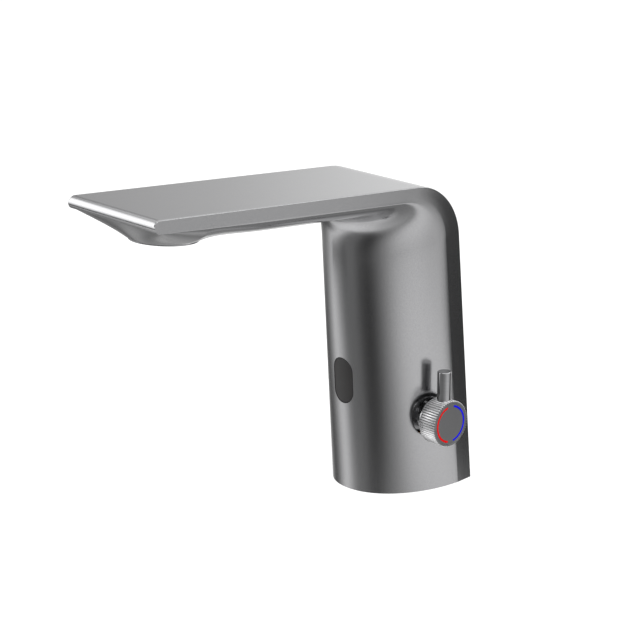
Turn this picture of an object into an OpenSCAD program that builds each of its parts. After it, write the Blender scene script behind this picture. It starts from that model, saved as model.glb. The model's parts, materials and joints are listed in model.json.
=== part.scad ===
// Deck-mounted sensor mixer tap for a wash basin.
// One casting folds a thin spout plate into a back strip and swells into a column.
// Origin: centre of the base on the basin. +Z up, spout towards -Y, temperature knob on +X.

/* [Casting] */
// Width of the ribbon's outer face
ribbon_w = 54; // [50:0.5:60]
// Thickness of the spout plate
plate_t = 5.4; // [4.8:0.1:7]
// Thickness of the back strip
strip_t = 9.2; // [8:0.1:11]
// Draft of the ribbon's side edges, in degrees
edge_draft = 6; // [2:0.5:8]
// Bevel along the ribbon's outer edges
edge_bevel = 0.5; // [0.3:0.1:0.9]
// Height at which plate and back strip would meet in a sharp corner
corner_h = 134.8; // [132:0.2:142]
// Length of the plate from that corner to its nose
plate_len = 159.9; // [150:0.1:170]
// Lean of the back strip towards the spout, in degrees
back_lean = 5.2; // [4:0.1:6]
// Rise of the plate towards its nose, in degrees
plate_rise = 3.8; // [2.5:0.1:5]
// Lean of the column's front, in degrees
front_lean = 3.1; // [2.4:0.1:3.8]
// Depth of the base from back to front
base_depth = 49.6; // [49.2:0.2:54]
// Outer radius of the bend
bend_r = 26.7; // [22:0.1:28]
// Inner radius of the bend
inner_bend_r = 21; // [17:0.5:23]
// Depth of the keel under the plate
keel_depth = 8.4; // [7.6:0.1:10]
// Length over which the keel grows from the nose
keel_run = 60; // [50:1:70]
// Fillet between column and keel
keel_fillet_r = 9; // [7:0.5:12]
// Roundness of the column's section, 2 is an ellipse
column_round = 2.1; // [2:0.05:2.3]
// Wall of the column
wall_t = 3; // [2.6:0.1:3.4]
// Wall of the back strip behind the hollow
back_wall_t = 8.2; // [6:0.1:8.4]

/* [Outlet pod] */
// Distance of the outlet from the nose
pod_d = 26; // [24:0.5:30]
// Radius of the pod's mouth
pod_r = 14; // [13.6:0.1:15]
// Depth of the pod under the plate
pod_depth = 9.4; // [9:0.1:11]
// Height of the plain rim round the mouth
pod_rim_h = 0.4; // [0.3:0.1:0.8]
// Outer radius of the flow straightener
aerator_r = 12; // [11:0.1:12.4]

/* [Sensor] */
// Height of the window's centre above the basin
window_z = 49.7; // [48.5:0.1:51]
// Width of the window
window_w = 11; // [10:0.1:12]
// Height of the window
window_h = 20; // [18:0.1:21]

/* [Knob] */
// Height of the knob's axis
knob_z = 33.8; // [33:0.1:34.4]
// Place of the knob's axis from front to back
knob_y = -0.9; // [-1.7:0.1:-0.2]
// Stand of the knob's face out from the back strip's edge
knob_stand = 11; // [10.6:0.1:14]
// Outer radius of the knurled sleeve
knob_r = 10.1; // [9.8:0.1:11]
// Length of the knurled sleeve
knob_len = 9; // [8.6:0.1:9.2]
// Number of flutes in the knurl
flute_count = 56; // [40:1:64]
// Depth of the flutes
flute_depth = 0.45; // [0.3:0.05:0.6]
// Radius of the lever pin
pin_r = 3; // [2.6:0.1:3.2]
// Reach of the lever pin above the knob's axis
pin_reach = 22.6; // [18:0.1:28]
// Centre line radius of the hot and cold marks
mark_r = 7.8; // [7:0.1:8.2]
// Width of the hot and cold marks
mark_w = 0.85; // [0.6:0.05:1.1]

/* [Water side] */
// Spacing between the hot and cold inlets
inlet_spacing = 16; // [15.6:0.1:17]
// Inner radius of the inlet threads, M10 x 1
inlet_thread_r = 4.5; // [4.3:0.1:4.6]
// Outer radius of the inlet tubes
inlet_tube_r = 4; // [3.8:0.1:4.2]
// Outer radius of the mixing cartridge
cartridge_r = 8; // [7.6:0.1:8.2]
// Outer radius of the solenoid coil
coil_r = 9.5; // [9:0.1:10]
// Height of the coil winding
coil_h = 18; // [14:0.5:20]
// Travel of the valve's plunger
plunger_travel = 1.5; // [1:0.1:1.8]
// Outer radius of the spout tube
spout_tube_r = 3.5; // [3.2:0.1:3.7]

/* [Fastening] */
// Inner radius of the fixing stud's thread, M8
stud_thread_r = 3.4; // [3.3:0.05:3.6]
// Distance of the fixing stud from the back wall
stud_in = 7.6; // [7.2:0.1:8]
// Thickness of the base plate
base_t = 8; // [7:0.1:8.4]
// Radius of the sensor cable's passage
cable_r = 2.6; // [2.2:0.1:2.8]
// Distance of the cable passage from the base's front edge
cable_in = 10.8; // [10.2:0.1:11.2]

/* [Hidden] */

// How far a cut runs past the face it opens
overrun = 1;
// Radial gap of pieces that push together
push_gap = 0.05;
// Gap between pieces that are laid in
lay_gap = 0.15;
// Gap beside and behind pieces that turn
turn_gap = 0.2;
// Smallest distance that is taken as more than nothing
tiny = 0.001;
// Facets of a full circle, of a screw or small hole, and of an O-ring's section
$fn = 64;
hole_facets = 32;
ring_facets = 24;
hex_facets = 6;

// Steps of the casting's skin
section_steps = 24;
column_steps = 3;
bend_steps = 12;
slant_steps = 5;
pod_steps = 15;
nose_steps = 3;
cavity_steps = 20;
// Roundness of the keel's section
keel_round = 2;
// Place behind the pod where the skin's sections stand square to the plate again
square_d = 2 * pod_d;
// How hollow the pod's back runs into the keel
pod_hollow = 3.1;
// Length of the run from the pod back into the keel
pod_run = 1.5 * pod_r;
// Part of the nose's quarter turn that the round reaches before its fine flat
nose_share = 0.94;

// Directions in the side view, as [y, z]
up_strip = [-sin(back_lean), cos(back_lean)];
up_front = [-sin(front_lean), cos(front_lean)];
to_nose = [-cos(plate_rise), sin(plate_rise)];
plate_down = [-sin(plate_rise), -cos(plate_rise)];

back_y = base_depth / 2;
front_y = -base_depth / 2;
half_w = ribbon_w / 2;
draft_share = tan(edge_draft);
strip_half_w = half_w + strip_t * draft_share;
plate_half_w = half_w + plate_t * draft_share;
crease_y = back_y - strip_t / cos(back_lean);

function cross2(a, b) = a[0] * b[1] - a[1] * b[0];
function mix(a, b, t) = a + (b - a) * t;
function meet(p, u, q, v) = p + u * (cross2(q - p, v) / cross2(u, v));
function signed_pow(v, e) = sign(v) * pow(abs(v), e);
function clamp(v) = min(1, max(0, v));

// Corners where the straight lines of the side view would meet
outer_corner = [back_y, 0] + up_strip * corner_h / cos(back_lean);
inner_corner = meet([crease_y, 0], up_strip, outer_corner + plate_down * plate_t, to_nose);
keel_corner = meet([front_y, 0], up_front, outer_corner + plate_down * (plate_t + keel_depth), to_nose);
nose = outer_corner + to_nose * plate_len;

// Point on the round of radius r between line u and line v, which meet at c
function tangent_len(u, v, r) = r * tan(acos(u * v) / 2);
function round_point(c, u, v, r, t) =
    let (turn = acos(u * v), a = c - u * tangent_len(u, v, r), n = (v - u * (u * v)) / sin(turn))
    a + n * r * (1 - cos(turn * t)) + u * r * sin(turn * t);
function outer_point(t) = round_point(outer_corner, up_strip, to_nose, bend_r, t);
function inner_point(t) = round_point(inner_corner, up_strip, to_nose, inner_bend_r, t);
function keel_point(t) = round_point(keel_corner, up_front, to_nose, keel_fillet_r, t);
// Distance from the nose along the plate
function nose_dist(p) = (nose - p) * to_nose;
function plate_point(d, depth) = nose - to_nose * d + plate_down * depth;

nose_r = plate_t / 2;
outer_end_d = nose_dist(outer_point(1));
inner_end_d = nose_dist(inner_point(1));
keel_end_d = nose_dist(keel_point(1));

// Depth of the keel and of the pod under the plate, at x and at d from the nose
function keel_ramp(d) = d < nose_r + keel_run ? sin(90 * (d - nose_r) / keel_run) : 1;
function pod_fall(x, d) =
    let (dy = d - pod_d, rho = max(norm([x, dy]), tiny),
         along = dy / rho, across = abs(x) / rho,
         side_lim = plate_half_w / max(across, tiny),
         end_lim = along < 0 ? (pod_d - nose_r) / max(-along, tiny) : (pod_r + pod_run) / max(along, tiny),
         t = clamp((rho - pod_r) / (min(side_lim, end_lim) - pod_r)))
    pow(1 - t, 1 + pod_hollow * max(along, 0));
function under_depth(x, d, s) =
    let (k = keel_depth * keel_ramp(d) * s)
    k + (pod_depth - pod_rim_h - k) * pod_fall(x, d);

// One closed ring of the skin: bevelled outer face, side, crease and swelling
function section_x(w, e, j) = w * signed_pow(cos(180 * j / section_steps), 2 / e);
function section_s(e, j) = pow(sin(180 * j / section_steps), 2 / e);
function ring_edges(o, c, t) =
    let (e = (c - o) / norm(c - o), b = o + e * edge_bevel, wb = half_w + edge_bevel * draft_share)
    [[wb, b[0], b[1]], [-wb, b[0], b[1]],
     [-(half_w - edge_bevel), o[0], o[1]], [half_w - edge_bevel, o[0], o[1]]];
function column_ring(o, c, k, t, e) =
    let (w = half_w + t * draft_share, ends = ring_edges(o, c, t))
    concat([ends[3], ends[0]],
           [for (j = [0 : section_steps])
               let (s = section_s(e, j), p = mix(c, k, s)) [section_x(w, e, j), p[0], p[1]]],
           [ends[1], ends[2]]);
function plate_ring(od, cd, kd) =
    let (o = plate_point(od, 0), c = plate_point(cd, plate_t), ends = ring_edges(o, c, plate_t))
    concat([ends[3], ends[0]],
           [for (j = [0 : section_steps])
               let (s = section_s(keel_round, j), x = section_x(plate_half_w, keel_round, j),
                    d = mix(cd, kd, s), p = plate_point(d, plate_t + under_depth(x, d, s)))
               [x, p[0], p[1]]],
           [ends[1], ends[2]]);
function nose_ring(a) =
    let (d = nose_r * (1 - sin(a)), lift = nose_r * (1 - cos(a)),
         o = plate_point(d, lift), c = plate_point(d, plate_t - lift),
         b = min(edge_bevel, norm(c - o) / 4), w = half_w + (plate_t - lift) * draft_share,
         ends = ring_edges(o, c, plate_t), wo = half_w + lift * draft_share - edge_bevel,
         q = plate_point(d, lift + b))
    concat([[wo, o[0], o[1]], [wo + edge_bevel, q[0], q[1]]],
           [for (j = [0 : section_steps]) [section_x(w, keel_round, j), c[0], c[1]]],
           [[-(wo + edge_bevel), q[0], q[1]], [-wo, o[0], o[1]]]);

function slant_share(kd) = max(0, (kd - square_d) / (keel_end_d - square_d));
skin_rings = concat(
    [for (i = [0 : column_steps - 1])
        let (t = i / column_steps)
        column_ring(mix([back_y, 0], outer_point(0), t), mix([crease_y, 0], inner_point(0), t),
                    mix([front_y, 0], keel_point(0), t), strip_t, column_round)],
    [for (i = [0 : bend_steps - 1])
        let (t = i / bend_steps)
        column_ring(outer_point(t), inner_point(t), keel_point(t),
                    mix(strip_t, plate_t, t), mix(column_round, keel_round, t))],
    [for (i = [0 : slant_steps - 1])
        let (kd = mix(keel_end_d, square_d, i / slant_steps), s = slant_share(kd))
        plate_ring(kd + (outer_end_d - keel_end_d) * s, kd + (inner_end_d - keel_end_d) * s, kd)],
    [for (i = [0 : pod_steps])
        let (d = mix(square_d, nose_r, i / pod_steps)) plate_ring(d, d, d)],
    [for (i = [1 : nose_steps]) nose_ring(90 * nose_share * i / nose_steps)]);

// Skin over a list of rings that have the same count of points
module loft(rings) {
    n = len(rings[0]);
    last = len(rings) - 1;
    polyhedron(
        points = [for (r = rings) each r],
        faces = concat(
            [[for (j = [n - 1 : -1 : 0]) j]],
            [for (i = [0 : last - 1], j = [0 : n - 1])
                let (a = i * n + j, b = i * n + (j + 1) % n) [a, b, a + n]],
            [for (i = [0 : last - 1], j = [0 : n - 1])
                let (a = i * n + j, b = i * n + (j + 1) % n) [b, b + n, a + n]],
            [[for (j = [0 : n - 1]) last * n + j]]));
}

// Frames for pieces that lie in the side plane, on the plate or along the knob
module in_side_plane() rotate([90, 0, 90]) children();
module at_tube_bend() in_side_plane() translate([tube_corner[0] - tube_bend_r, tube_bend_z]) children();
module on_plate(d) {
    p = plate_point(d, 0);
    translate([0, p[0], p[1]]) rotate([180 - plate_rise, 0, 0]) children();
}
module along_knob(x) translate([x, knob_y, knob_z]) rotate([0, 90, 0]) children();
module ring(ro, ri, h) difference() {
    cylinder(r = ro, h = h);
    translate([0, 0, -overrun]) cylinder(r = ri, h = h + 2 * overrun);
}
module o_ring(r_in, r_out) rotate_extrude()
    translate([(r_in + r_out) / 2, 0]) circle(r = (r_out - r_in - push_gap) / 2, $fn = ring_facets);
module mirrored() {
    children();
    mirror([1, 0, 0]) children();
}

// Outline with a flat back at yb, straight sides down to yc and a swelling out to yf
function swelling(w, yb, yc, yf) =
    concat([[w, yb]],
           [for (j = [0 : cavity_steps])
               let (a = 180 * j / cavity_steps)
               [w * signed_pow(cos(a), 2 / column_round), mix(yc, yf, pow(sin(a), 2 / column_round))]],
           [[-w, yb]]);
// Shortest straight side of the hollow, next to its flat back
hollow_side_h = 0.8;
inner_half_w = strip_half_w - wall_t;
// Outline of the column's hollow at height z, grown by g
function hollow_outline(z, g) =
    let (shift = z * tan(back_lean), yb = back_y - back_wall_t - shift + g)
    swelling(inner_half_w + g, yb, min(crease_y - shift, yb - hollow_side_h),
             front_y - z * tan(front_lean) + wall_t - g);
function at_height(outline, z) = [for (p = outline) [p[0], p[1], z]];

// Hollow of the column, which narrows under the bend
hollow_top_drop = 6.2;
hollow_neck = 24.6;
hollow_top = corner_h - hollow_top_drop;
hollow_h = hollow_top - hollow_neck;
hollow_top_w_share = 0.72;
hollow_top_in = 7;
hollow_top_depth = 13.8;
hollow_top_back = outer_corner[0] - back_wall_t - hollow_top_in;
hollow_top_outline = swelling(hollow_top_w_share * inner_half_w, hollow_top_back,
                              hollow_top_back - hollow_side_h, hollow_top_back - hollow_top_depth);

// Places and sizes of the water side
knob_x = strip_half_w + knob_stand;
cartridge_bore_r = cartridge_r + push_gap;
boss_wall = 3.45;
boss_r = cartridge_bore_r + boss_wall;
boss_in_x = 17;
boss_end_t = 3;
bore_in_x = boss_in_x - boss_end_t;
inlet_x = inlet_spacing / 2;
inlet_bore_r = inlet_tube_r + push_gap;
inlet_port_r = 2.5;
inlet_seat_depth = 2.4;
inlet_boss_wall = 2.1;
inlet_boss_r = inlet_thread_r + inlet_boss_wall;
inlet_boss_h = 14;
inlet_thread_len = 9;
stud_y = back_y - back_wall_t - stud_in;
cable_y = front_y + cable_in;
stud_wall_t = 2.6;
stud_boss_h = 12;
inlet_tube_z = 10;
boss_bottom_z = knob_z - boss_r;
inlet_tube_top = boss_bottom_z + inlet_seat_depth;
inlet_wall_t = 1.4;
pad_h = 6;
pad_z = knob_z + boss_r + pad_h;
pad_x = 17;
pad_y = 6.5;
valve_port_r = 2.5;
valve_screw_x = 13.4;
valve_screw_r = 1.5;
valve_screw_depth = 4;

// Levels of the valve's stack above its pad
valve_floor_h = 10;
chamber_h = 8;
diaphragm_t = 1.2;
cover_h = 6;
yoke_t = 1.4;
floor_z = pad_z + valve_floor_h;
seat_z = floor_z + chamber_h;
cover_z = seat_z + diaphragm_t;
coil_z = cover_z + cover_h + yoke_t;
coil_top = coil_z + coil_h;
// The valve stands upright, with its coil's top edge this far from the back wall
coil_gap = 1.2;
valve_y = back_y - back_wall_t - (coil_top + yoke_t) * tan(back_lean) - coil_r - coil_gap;

// Base plate, its bosses and screws
base_ledge = 0.8;
screw_r = 1.5;
screw_depth = 9;
screw_boss_r = 3.6;
screw_boss_h = 14;
screw_rib_t = 3;
screw_side_in = 9.2;
screw_back_in = 5.4;
front_screw_x_share = 0.463;
front_screw_y_share = 0.4435;
back_screw = [half_w - screw_side_in, back_y - back_wall_t - screw_back_in];
front_screw = [half_w * front_screw_x_share, front_y * front_screw_y_share];
screw_places = [for (p = [back_screw, front_screw], s = [-1, 1]) [s * p[0], p[1]]];
screw_head_r = 2.75;
screw_head_h = 2;
// Part of a screw's head that its key's socket goes into
key_depth_share = 0.6;
// Room left under a screw's end
screw_end_gap = 0.6;

// Sensor pocket, behind the column's front
window_gap = 0.3;
window_flange = 1.9;
window_depth = 3.3;
pocket_y = front_y - window_z * tan(front_lean) + window_depth;
gasket_t = 0.8;
flange_t = 1.2;
housing_depth = 7;
housing_wall = 1;
sensor_ear_x = 11.1;
sensor_ear_r = 2.8;
sensor_screw_r = 1.2;
sensor_boss_in = 5.6;
sensor_hole_depth = 2;
sensor_boss_y = pocket_y + sensor_boss_in;
housing_y = pocket_y + gasket_t + flange_t;
housing_w = window_w + 2 * window_flange;
housing_h = window_h + 2 * window_flange;

// Spout way, a flat slot in the plate and keel with the tube in its middle
slot_roof = 2.4;
slot_floor = 2.8;
spout_slot_w = 37;
spout_slot_h = plate_t + keel_depth - slot_roof - slot_floor;
tube_depth = slot_roof + spout_slot_h / 2;
tube_in = 5.8;
tube_y = front_y + tube_in;
tube_bend_r = 12;
tube_bore_r = spout_tube_r + push_gap;
tube_way_r = spout_tube_r + 2 * lay_gap;
tube_corner = meet([tube_y, 0], [0, 1], outer_corner + plate_down * tube_depth, to_nose);
tube_bend_turn = 90 - plate_rise;
tube_bend_len = tangent_len([0, 1], to_nose, tube_bend_r);
tube_bend_z = tube_corner[1] - tube_bend_len;
outlet_wall = 1.7;
tube_socket_len = 6;
tube_socket_d = pod_d + aerator_r + outlet_wall;
tube_slot_d = tube_socket_d + tube_socket_len;
outlet_w = 9;
outlet_h = 2.6;
// Cored holes beside the outlet, which take weight off the spout
core_r = 3.2;
core_x = 18;
core_depth = slot_roof + core_r;
core_end_d = 16;

// Outlet pocket, measured down from the top of the plate
pocket_roof = 4.2;
seal_depth = 7.2;
aerator_depth = 8.6;
pod_mouth_depth = plate_t + pod_depth;
mouth_recess = 0.3;
chamber_step = 1.5;
chamber_r = aerator_r - chamber_step;

module stadium(w, h) union() {
    translate([0, (h - w) / 2]) circle(d = w);
    translate([0, (w - h) / 2]) circle(d = w);
    square([w, h - w], center = true);
}
// Upright stadium prism from y0 forward to y1
module window_prism(w, h, y0, y1) translate([0, y0, window_z])
    rotate([90, 0, 0]) linear_extrude(y0 - y1) stadium(w, h);

module column_hollow() loft([
    at_height(hollow_outline(-overrun, 0), -overrun),
    at_height(hollow_outline(hollow_h, 0), hollow_h),
    at_height(hollow_top_outline, hollow_top)]);

module base_recess(z0, z1, g) translate([0, 0, z0])
    linear_extrude(z1 - z0) polygon(hollow_outline(base_t, base_ledge - g));

// The cast body

// What is left standing in the hollow; each boss and rib runs out into the wall
module screw_boss(p) translate([p[0], p[1], base_t]) {
    cylinder(r = screw_boss_r, h = screw_boss_h, $fn = hole_facets);
    rotate(atan2(p[1], p[0])) translate([0, -screw_rib_t / 2, 0])
        cube([half_w, screw_rib_t, screw_boss_h]);
}

module body_bosses() {
    along_knob(-boss_in_x) cylinder(r = boss_r, h = boss_in_x + half_w);
    // Web that ties the cartridge's boss to the back wall
    translate([-boss_in_x, knob_y, boss_bottom_z]) cube([boss_in_x + half_w, base_depth, 2 * boss_r]);
    translate([-pad_x, valve_y - pad_y, knob_z]) cube([2 * pad_x, 2 * pad_y, pad_z - knob_z]);
    mirrored() {
        screw_boss(back_screw);
        screw_boss(front_screw);
        translate([sensor_ear_x, sensor_boss_y, window_z]) rotate([90, 0, 0])
            cylinder(r = sensor_ear_r, h = -front_y, $fn = hole_facets);
    }
}

module spout_way() {
    // Flat hollow under the plate, from the column to the tube's socket
    slot_end = nose_dist([valve_y - 2 * pad_y, 0]);
    on_plate(tube_slot_d) translate([0, 0, tube_depth]) rotate([90, 0, 0])
        linear_extrude(slot_end - tube_slot_d) rotate(90) stadium(spout_slot_h, spout_slot_w);
    on_plate(tube_socket_d) translate([0, 0, tube_depth]) rotate([90, 0, 0])
        cylinder(r = tube_bore_r, h = tube_slot_d - tube_socket_d + overrun);
    on_plate(tube_socket_d + overrun)
        translate([-outlet_w / 2, 0, (pocket_roof + seal_depth - outlet_h) / 2])
            cube([outlet_w, tube_socket_d + overrun - pod_d, outlet_h]);
    mirrored() on_plate(core_end_d) translate([core_x, 0, core_depth]) rotate([90, 0, 0])
        cylinder(r = core_r, h = tube_slot_d + spout_slot_h / 2 - core_end_d);
    // Room for the tube's bend
    at_tube_bend() {
        rotate_extrude(angle = tube_bend_turn) translate([tube_bend_r, 0]) circle(r = tube_way_r);
        rotate([90, 0, 0]) translate([tube_bend_r, 0, 0])
            cylinder(r = tube_way_r, h = tube_bend_z - hollow_h);
    }
}

module outlet_pocket() on_plate(pod_d) {
    translate([0, 0, pocket_roof]) cylinder(r = chamber_r, h = pod_mouth_depth);
    translate([0, 0, seal_depth]) cylinder(r = aerator_r + push_gap, h = pod_mouth_depth);
}

module cartridge_ways() {
    along_knob(-bore_in_x) cylinder(r = cartridge_bore_r, h = bore_in_x + knob_x);
    mirrored() {
        translate([inlet_x, knob_y, boss_bottom_z - overrun])
            cylinder(r = inlet_bore_r, h = inlet_seat_depth + overrun);
        translate([inlet_x, knob_y, boss_bottom_z]) cylinder(r = inlet_port_r, h = boss_r);
    }
    translate([0, valve_y, knob_z]) cylinder(r = valve_port_r, h = pad_z - knob_z + overrun);
    mirrored() translate([valve_screw_x, valve_y, pad_z - valve_screw_depth])
        cylinder(r = valve_screw_r + push_gap, h = valve_screw_depth + overrun);
}

module tap_body() color([0.44, 0.44, 0.45]) difference() {
    union() {
        loft(skin_rings);
        on_plate(pod_d) translate([0, 0, plate_t]) cylinder(r = pod_r, h = pod_depth);
    }
    difference() {
        column_hollow();
        body_bosses();
    }
    base_recess(-overrun, base_t, 0);
    spout_way();
    outlet_pocket();
    cartridge_ways();
    for (p = screw_places)
        translate([p[0], p[1], base_t - overrun])
            cylinder(r = screw_r + push_gap, h = screw_depth + overrun, $fn = hole_facets);
    window_prism(window_w + 2 * window_gap, window_h + 2 * window_gap, pocket_y + overrun, 2 * front_y);
    window_prism(housing_w + 2 * window_gap, housing_h + 2 * window_gap, sensor_boss_y + overrun, pocket_y);
    mirrored() translate([sensor_ear_x, sensor_boss_y + overrun, window_z]) rotate([90, 0, 0])
        cylinder(r = sensor_screw_r + push_gap, h = sensor_hole_depth + overrun, $fn = hole_facets);
    // Room for the housing's ears and their screws
    mirrored() translate([sensor_ear_x, sensor_boss_y + housing_depth, window_z]) rotate([90, 0, 0])
        cylinder(r = sensor_ear_r + lay_gap, h = housing_depth, $fn = hole_facets);
}

// Base

gasket_h = 1.5;
gasket_w = 2.2;
grommet_wall = 1.9;
grommet_flange = 1.1;
grommet_flange_t = 1.6;
module base_plate() color([0.75, 0.74, 0.72]) difference() {
    union() {
        base_recess(0, base_t, lay_gap);
        mirrored() translate([inlet_x, knob_y, 0]) cylinder(r = inlet_boss_r, h = inlet_boss_h);
        translate([0, stud_y, 0]) cylinder(r = stud_thread_r + stud_wall_t, h = stud_boss_h);
    }
    difference() {
        translate([0, 0, -overrun]) linear_extrude(overrun + gasket_h + lay_gap)
            square(2 * ribbon_w, center = true);
        translate([0, 0, -2 * overrun]) base_recess(0, base_t, gasket_w + lay_gap);
    }
    mirrored() translate([inlet_x, knob_y, 0]) {
        translate([0, 0, -overrun]) cylinder(r = inlet_thread_r, h = inlet_thread_len + overrun);
        cylinder(r = inlet_tube_r - inlet_wall_t, h = inlet_boss_h);
        translate([0, 0, inlet_tube_z]) cylinder(r = inlet_bore_r, h = inlet_boss_h);
    }
    translate([0, stud_y, -overrun]) cylinder(r = stud_thread_r, h = 3 * base_t);
    translate([0, cable_y, -overrun]) cylinder(r = cable_r + grommet_wall, h = 2 * base_t);
    for (p = screw_places) translate([p[0], p[1], 0]) {
        translate([0, 0, -overrun])
            cylinder(r = screw_head_r + lay_gap, h = overrun + screw_head_h + lay_gap);
        cylinder(r = screw_r + lay_gap, h = 2 * base_t);
    }
}

module base_gasket() color([0.08, 0.08, 0.08]) difference() {
    base_recess(0, gasket_h, lay_gap);
    translate([0, 0, -overrun]) linear_extrude(gasket_h + 2 * overrun)
        polygon(hollow_outline(base_t, base_ledge - gasket_w));
}

module cap_screw(r, head_r, head_h, len, key_r) difference() {
    union() {
        cylinder(r = head_r, h = head_h, $fn = hole_facets);
        cylinder(r = r, h = len, $fn = hole_facets);
    }
    translate([0, 0, -overrun])
        cylinder(r = key_r, h = overrun + head_h * key_depth_share, $fn = hex_facets);
}

module base_screws() color([0.78, 0.78, 0.79])
    for (p = screw_places) translate([p[0], p[1], lay_gap])
        cap_screw(screw_r, screw_head_r, screw_head_h, base_t + screw_depth - lay_gap - screw_end_gap,
                  screw_head_r / 2);

module cable_grommet() color([0.1, 0.1, 0.1]) translate([0, cable_y, 0]) difference() {
    union() {
        translate([0, 0, lay_gap]) cylinder(r = cable_r + grommet_wall - push_gap, h = base_t);
        translate([0, 0, base_t])
            cylinder(r = cable_r + grommet_wall + grommet_flange, h = grommet_flange_t);
    }
    translate([0, 0, -overrun]) cylinder(r = cable_r, h = 2 * base_t);
}

// Sensor

// The column's front as a solid, drawn back by g, for the window's curved face
module front_form(g) loft([for (z = [window_z - window_h, window_z + window_h])
    at_height([for (j = [0 : 2 * cavity_steps])
        let (a = 90 * j / cavity_steps, yc = crease_y - z * tan(back_lean))
        [(strip_half_w - g) * signed_pow(cos(a), 2 / column_round),
         mix(yc, front_y - z * tan(front_lean) + g, pow(sin(a), 2 / column_round))]], z)]);

module sensor_window() color([0.07, 0.07, 0.075]) union() {
    intersection() {
        window_prism(window_w, window_h, housing_y - flange_t / 2, 2 * front_y);
        front_form(lay_gap);
    }
    window_prism(housing_w, housing_h, housing_y, housing_y - flange_t);
}

module sensor_gasket() color([0.1, 0.1, 0.1]) difference() {
    window_prism(housing_w, housing_h, pocket_y + gasket_t, pocket_y);
    window_prism(window_w + window_gap, window_h + window_gap,
                 pocket_y + gasket_t + overrun, pocket_y - overrun);
}

board_t = 1;
board_gap = 0.6;
board_y = housing_y + housing_depth - housing_wall - board_gap - board_t;
ear_t = 1.5;
module sensor_housing() color([0.16, 0.16, 0.17]) difference() {
    union() {
        window_prism(housing_w, housing_h, housing_y + housing_depth, housing_y);
        mirrored() translate([0, sensor_boss_y + ear_t, window_z]) rotate([90, 0, 0])
            linear_extrude(ear_t) union() {
                translate([sensor_ear_x, 0]) circle(r = sensor_ear_r, $fn = hole_facets);
                translate([0, -sensor_ear_r]) square([sensor_ear_x, 2 * sensor_ear_r]);
            }
    }
    window_prism(housing_w - 2 * housing_wall, housing_h - 2 * housing_wall,
                 housing_y + housing_depth - housing_wall, housing_y - overrun);
    mirrored() translate([sensor_ear_x, 0, window_z]) rotate([90, 0, 0])
        cylinder(r = sensor_screw_r + lay_gap, h = ribbon_w, $fn = hole_facets);
}

module sensor_board() color([0.05, 0.3, 0.12])
    window_prism(housing_w - 2 * housing_wall - 2 * lay_gap, housing_h - 2 * housing_wall - 2 * lay_gap,
                 board_y + board_t, board_y);

led_r = 1.5;
led_offset = 5;
led_rim = 0.3;
led_rim_h = 0.8;
led_gap = 0.4;
led_len = board_y - housing_y - led_r - led_gap;
module ir_diode() rotate([90, 0, 0]) union() {
    cylinder(r = led_r + led_rim, h = led_rim_h, $fn = hole_facets);
    cylinder(r = led_r, h = led_len, $fn = hole_facets);
    translate([0, 0, led_len]) sphere(r = led_r, $fn = hole_facets);
}
module ir_emitter() color([0.25, 0.3, 0.5]) translate([0, board_y, window_z + led_offset]) ir_diode();
module ir_receiver() color([0.1, 0.08, 0.12]) translate([0, board_y, window_z - led_offset]) ir_diode();

sensor_head_r = 2.2;
sensor_head_h = 1.4;
module sensor_screws() color([0.78, 0.78, 0.79]) mirrored()
    translate([sensor_ear_x, sensor_boss_y + ear_t + sensor_head_h, window_z]) rotate([90, 0, 0])
        cap_screw(sensor_screw_r, sensor_head_r, sensor_head_h,
                  sensor_head_h + ear_t + sensor_hole_depth - screw_end_gap, sensor_head_r / 2);

// Water inlets

o_ring_depth = 0.8;
inlet_ring_z = [(inlet_tube_z + inlet_boss_h) / 2, (boss_bottom_z + inlet_tube_top) / 2];
module inlet_tube() translate([0, knob_y, 0]) difference() {
    translate([0, 0, inlet_tube_z]) cylinder(r = inlet_tube_r, h = inlet_tube_top - inlet_tube_z - lay_gap);
    cylinder(r = inlet_tube_r - inlet_wall_t, h = knob_z);
    for (z = inlet_ring_z) translate([0, 0, z - o_ring_depth / 2])
        ring(inlet_tube_r + overrun, inlet_tube_r - o_ring_depth, o_ring_depth + 2 * push_gap);
}
module hot_inlet_tube() color([0.72, 0.45, 0.3]) translate([-inlet_x, 0, 0]) inlet_tube();
module cold_inlet_tube() color([0.72, 0.45, 0.3]) translate([inlet_x, 0, 0]) inlet_tube();
module inlet_o_rings() color([0.08, 0.08, 0.08]) mirrored()
    for (z = inlet_ring_z) translate([inlet_x, knob_y, z])
        o_ring(inlet_tube_r - o_ring_depth, inlet_bore_r);

filter_in = 4;
filter_t = 1.2;
filter_pitch = 1.3;
filter_hole_r = 0.45;
module inlet_filters() color([0.8, 0.8, 0.82]) mirrored()
    translate([inlet_x, knob_y, inlet_tube_top - filter_in]) difference() {
        cylinder(r = inlet_tube_r - inlet_wall_t - push_gap, h = filter_t, $fn = hole_facets);
        for (i = [-1 : 1], j = [-1 : 1])
            translate([i * filter_pitch, j * filter_pitch, -overrun])
                cylinder(r = filter_hole_r, h = filter_t + 2 * overrun, $fn = hex_facets);
    }

// Mixing cartridge, along the knob's axis

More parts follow.
